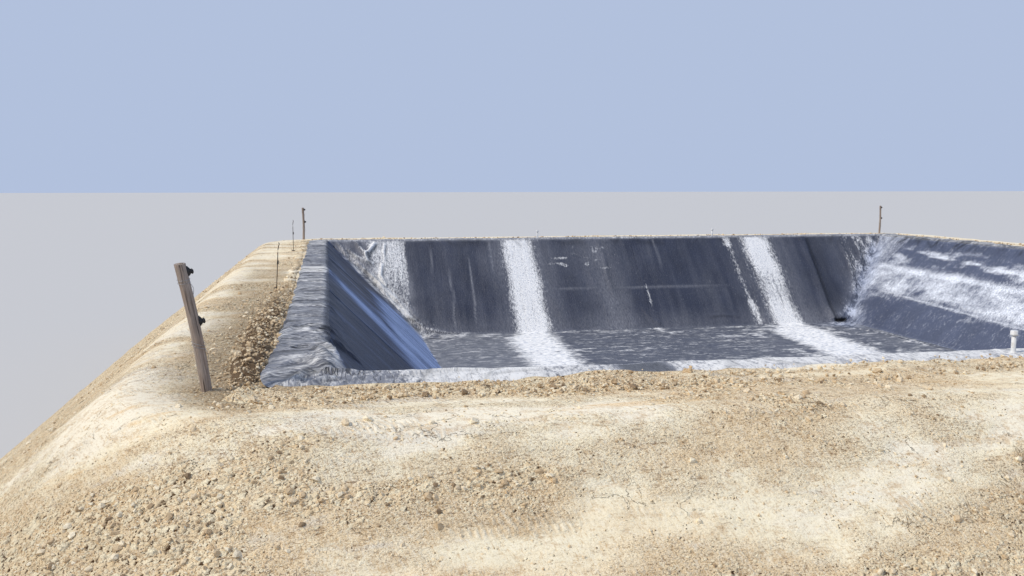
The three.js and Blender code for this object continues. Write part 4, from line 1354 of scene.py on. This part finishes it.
def stand(thing, foot, slot_name, node, lean=0.0):
    """Stands a piece on its foot, leaning by its sideways travel per metre of height."""
    thing.data.transform(Matrix(((1, 0, lean, foot[0]), (0, 1, 0, foot[1]), (0, 0, 1, foot[2]), (0, 0, 0, 1))))
    finish_piece(thing, slot_name, node)


# Posts by place in plan, height, radius at the foot and at the top, and lean
POSTS = {
    "near_left": ((-9.51, -9.96), 1.01, (0.043, 0.045), -0.165),
    "near_right": ((9.51, -9.96), 1.00, (0.042, 0.038), 0.03),
    "far_left": ((-9.24, 10.70), 0.92, (0.034, 0.030), -0.01),
    "far_right": ((9.13, 10.50), 0.90, (0.030, 0.027), 0.0),
}
POST_BEND = 0.014
# Rings of a post's sawn top, by their share of its radius and how far they rise
POST_CAP = [(0.9, 0.003), (0.45, 0.004), (0.02, 0.001)]
# A wedge-shaped insulator by radius and distance from the post, with a groove for the wire
INSULATOR = [(0.0, -0.006), (0.040, -0.006), (0.040, 0.006), (0.033, 0.009), (0.026, 0.018), (0.019, 0.021),
             (0.018, 0.027), (0.022, 0.030), (0.020, 0.037), (0.011, 0.044), (0.0, 0.045)]


def build_post(name, seed, foot, height, radii, lean):
    """A split, weathered post with its sawn top, two insulators and wire ties."""
    low, high = radii
    rows, sides = 48, 40
    level = np.linspace(0, 1, rows)[:, None]
    angle = np.linspace(0, 2 * math.pi, sides, endpoint=False)[None, :]
    cosine, sine = np.cos(angle), np.sin(angle)
    grain = fractal(3.9 * cosine + 1.5 * level, 3.9 * sine, 140 + seed, 3, 0.6)
    split = ridge(2.4 * cosine + 0.5 * level, 2.4 * sine + 0.3 * level, 150 + seed) ** 6
    radius = (low + (high - low) * level) * (1 + 0.05 * grain) - 0.006 * split
    z = height * level + 0.006 * np.cos(angle - 1.0) * (level > 0.99)
    body = np.stack([radius * cosine + POST_BEND * np.sin(math.pi * level), radius * sine, z], -1)
    caps = [body[-1] * (share, share, 1) + (0, 0, rise) for share, rise in POST_CAP]
    points = np.concatenate([body, caps])
    faces = grid_faces(len(points), sides, closed_columns=1)
    thing = new_object(f"{name}_post_timber", points, faces, TIMBER)
    x, y, z = np.moveaxis(points, -1, 0)
    on_body = np.arange(len(points))[:, None] < rows
    add_values(thing, lay=(np.where(on_body, angle * low, x), np.where(on_body, z, 0.3 * y)))
    pieces = [thing]

    def place_at(share):
        """Radius, bend and height of the post at a share of its height."""
        return low + (high - low) * share, POST_BEND * math.sin(math.pi * share), height * share

    for number, share in enumerate((0.56, 0.945)):
        radius, bend, level = place_at(share)
        insulator = turned(f"{name}_insulator_{number + 1}", INSULATOR, BLACK_PLASTIC, 24)
        sideways = Matrix.Rotation(math.pi / 2, 4, "Y") @ Matrix.Diagonal((1.0, 0.5, 1.0, 1.0))
        insulator.data.transform(Matrix.Translation((radius + bend, 0, level)) @ sideways)
        pieces.append(insulator)
    for number, share in enumerate((0.90, 0.40)):
        pieces.append(build_tie(f"{name}_wire_tie_{number + 1}", *place_at(share), seed + 10 * number))
    for piece in pieces:
        stand(piece, (*foot, BANK_TOP), "post_timber", f"{name}_post", lean)


def build_tie(name, radius, bend, level, seed):
    """Thin wire wound twice round the post, with its end hanging loose."""
    rng = np.random.default_rng(300 + seed)
    radius += 0.004
    route = [(bend + radius * math.cos(a), radius * math.sin(a), level - 0.004 * a + 0.012 * math.sin(a + seed))
             for a in np.linspace(-0.3, 4.3 * math.pi, 60)]
    end = Vector(route[-1])
    drift = Vector((0.02 + 0.01 * rng.uniform(), -0.008, 0))
    for k in range(1, 12):
        t = k / 11
        route.append(tuple(end + drift * math.sin(2.4 * t) + Vector((0.006 * math.sin(5 * t), 0, -0.11 * t))))
    return tube(name, route, 0.0020, WIRE, 6)


# Stakes by place in plan, height and lean
STAKES = {"left_front": ((-9.345, -2.58), 0.72, 0.06), "left_rear": ((-9.37, 5.83), 0.75, 0.0)}
# The stakes' clip by radius and height
CLIP = [(0.0, -0.03), (0.011, -0.03), (0.013, -0.02), (0.013, 0.02), (0.011, 0.03), (0.0, 0.03)]


def build_stake(name, foot, height, lean):
    """A tread-in stake: rod with a hooked top, a tread with rounded ends, and a clip at mid height."""
    middle = height * 0.58
    rod = [(0, 0, height * k / 14) for k in range(13)]
    rod += [(0.004 + 0.012 * math.sin(a), 0, height * 0.93 + 0.05 * a / 3) for a in np.linspace(0.3, 3.1, 8)]
    tread = [(-0.04 + 0.08 * k / 8, 0, 0.014 + 0.004 * math.sin(k)) for k in range(9)]
    wire = [(0.012 + 0.02 * math.sin(k / 2), 0.004 * k, middle + 0.012 * math.cos(k)) for k in range(12)]
    clip = [(radius, middle + level) for radius, level in CLIP]
    pieces = [
        tube(f"{name}_rod", rod, 0.0065, STAKE_STEEL, 12),
        tube(f"{name}_tread", tread, 0.010, STAKE_STEEL, 12),
        turned(f"{name}_clip", clip, BLACK_PLASTIC, 20),
        tube(f"{name}_hook", wire, 0.002, WIRE, 6),
    ]
    pieces[2].data.transform(Matrix.Translation((0.004, 0, 0)))
    for piece in pieces:
        stand(piece, (*foot, BANK_TOP), "stake_steel", f"{name}_stake", lean)


# Vents by place in plan
VENTS = {
    "near_left": (-2.18, -9.795),
    "near_right": (3.10, -9.795),
    "far_left": (-2.44, 9.88),
    "far_right": (3.07, 9.88),
}
# A pipe with its welded collar, and a cap with a turned-down rim, both by radius and height
STEM = [(0.0, 0.0), (0.040, 0.0), (0.040, 0.004), (0.030, 0.006), (0.024, 0.016), (0.022, 0.03), (0.022, 0.179),
        (0.0, 0.179)]
CAP = [(0.0, 0.175), (0.032, 0.175), (0.033, 0.169), (0.036, 0.170), (0.036, 0.183), (0.0345, 0.185),
       (0.035, 0.207), (0.030, 0.214), (0.022, 0.215), (0.0, 0.215)]


def build_fittings():
    for number, (name, form) in enumerate(POSTS.items()):
        build_post(name, number + 1, *form)
    for name, form in STAKES.items():
        build_stake(name, *form)
    for name, foot in VENTS.items():
        for piece, profile, node in (("pipe", STEM, "stem"), ("hood", CAP, "cap")):
            thing = turned(f"{name}_vent_{piece}", profile, PIPE)
            stand(thing, (*foot, CREST_Z), "vent_pipe", f"{name}_vent_{node}")


# Stage, light and camera

# The photograph's focal length and width in pixels, the eye's place, and its tilt and turn in degrees
FOCAL_LENGTH, PICTURE_WIDTH, SENSOR = 948, 1024, 36
EYE = (-8.55, -17.61, 4.33)
TILT_DOWN, TURN_RIGHT = 6.3, 11
KEY_FROM = (-0.69, -0.12, 0.71)


def build_stage():
    bpy.ops.mesh.primitive_plane_add(size=900, location=(0, 0, 0))
    floor = bpy.context.object
    floor.name = "studio_floor"
    floor.data.materials.append(Shader("pale_floor").finish((0.56, 0.55, 0.53), 0.9))
    scene = bpy.context.scene
    scene.world = scene.world or bpy.data.worlds.new("studio")
    scene.world.use_nodes = True
    background = scene.world.node_tree.nodes["Background"]
    background.inputs["Color"].default_value = (0.62, 0.74, 1.0, 1)
    background.inputs["Strength"].default_value = 0.72
    sun = bpy.data.lights.new("key", "SUN")
    sun.energy = 2.5
    sun.angle = math.radians(3)
    sun.color = (1.0, 0.92, 0.80)
    key = bpy.data.objects.new("key", sun)
    key.rotation_euler = Vector(KEY_FROM).to_track_quat("Z", "Y").to_euler()
    scene.collection.objects.link(key)
    scene.view_settings.view_transform = "Standard"


def build_camera():
    """The photograph's view: eye height over the near crest, turned to the right and a little down."""
    camera = bpy.data.cameras.new("view")
    camera.sensor_width = SENSOR
    camera.lens = FOCAL_LENGTH / PICTURE_WIDTH * SENSOR
    camera.clip_end = 1500
    eye = bpy.data.objects.new("view", camera)
    eye.location = EYE
    eye.rotation_euler = (math.radians(90 - TILT_DOWN), 0, math.radians(-TURN_RIGHT))
    bpy.context.scene.collection.objects.link(eye)
    bpy.context.scene.camera = eye


build_stage()
build_camera()
build_lining()
build_earth()
build_fittings()
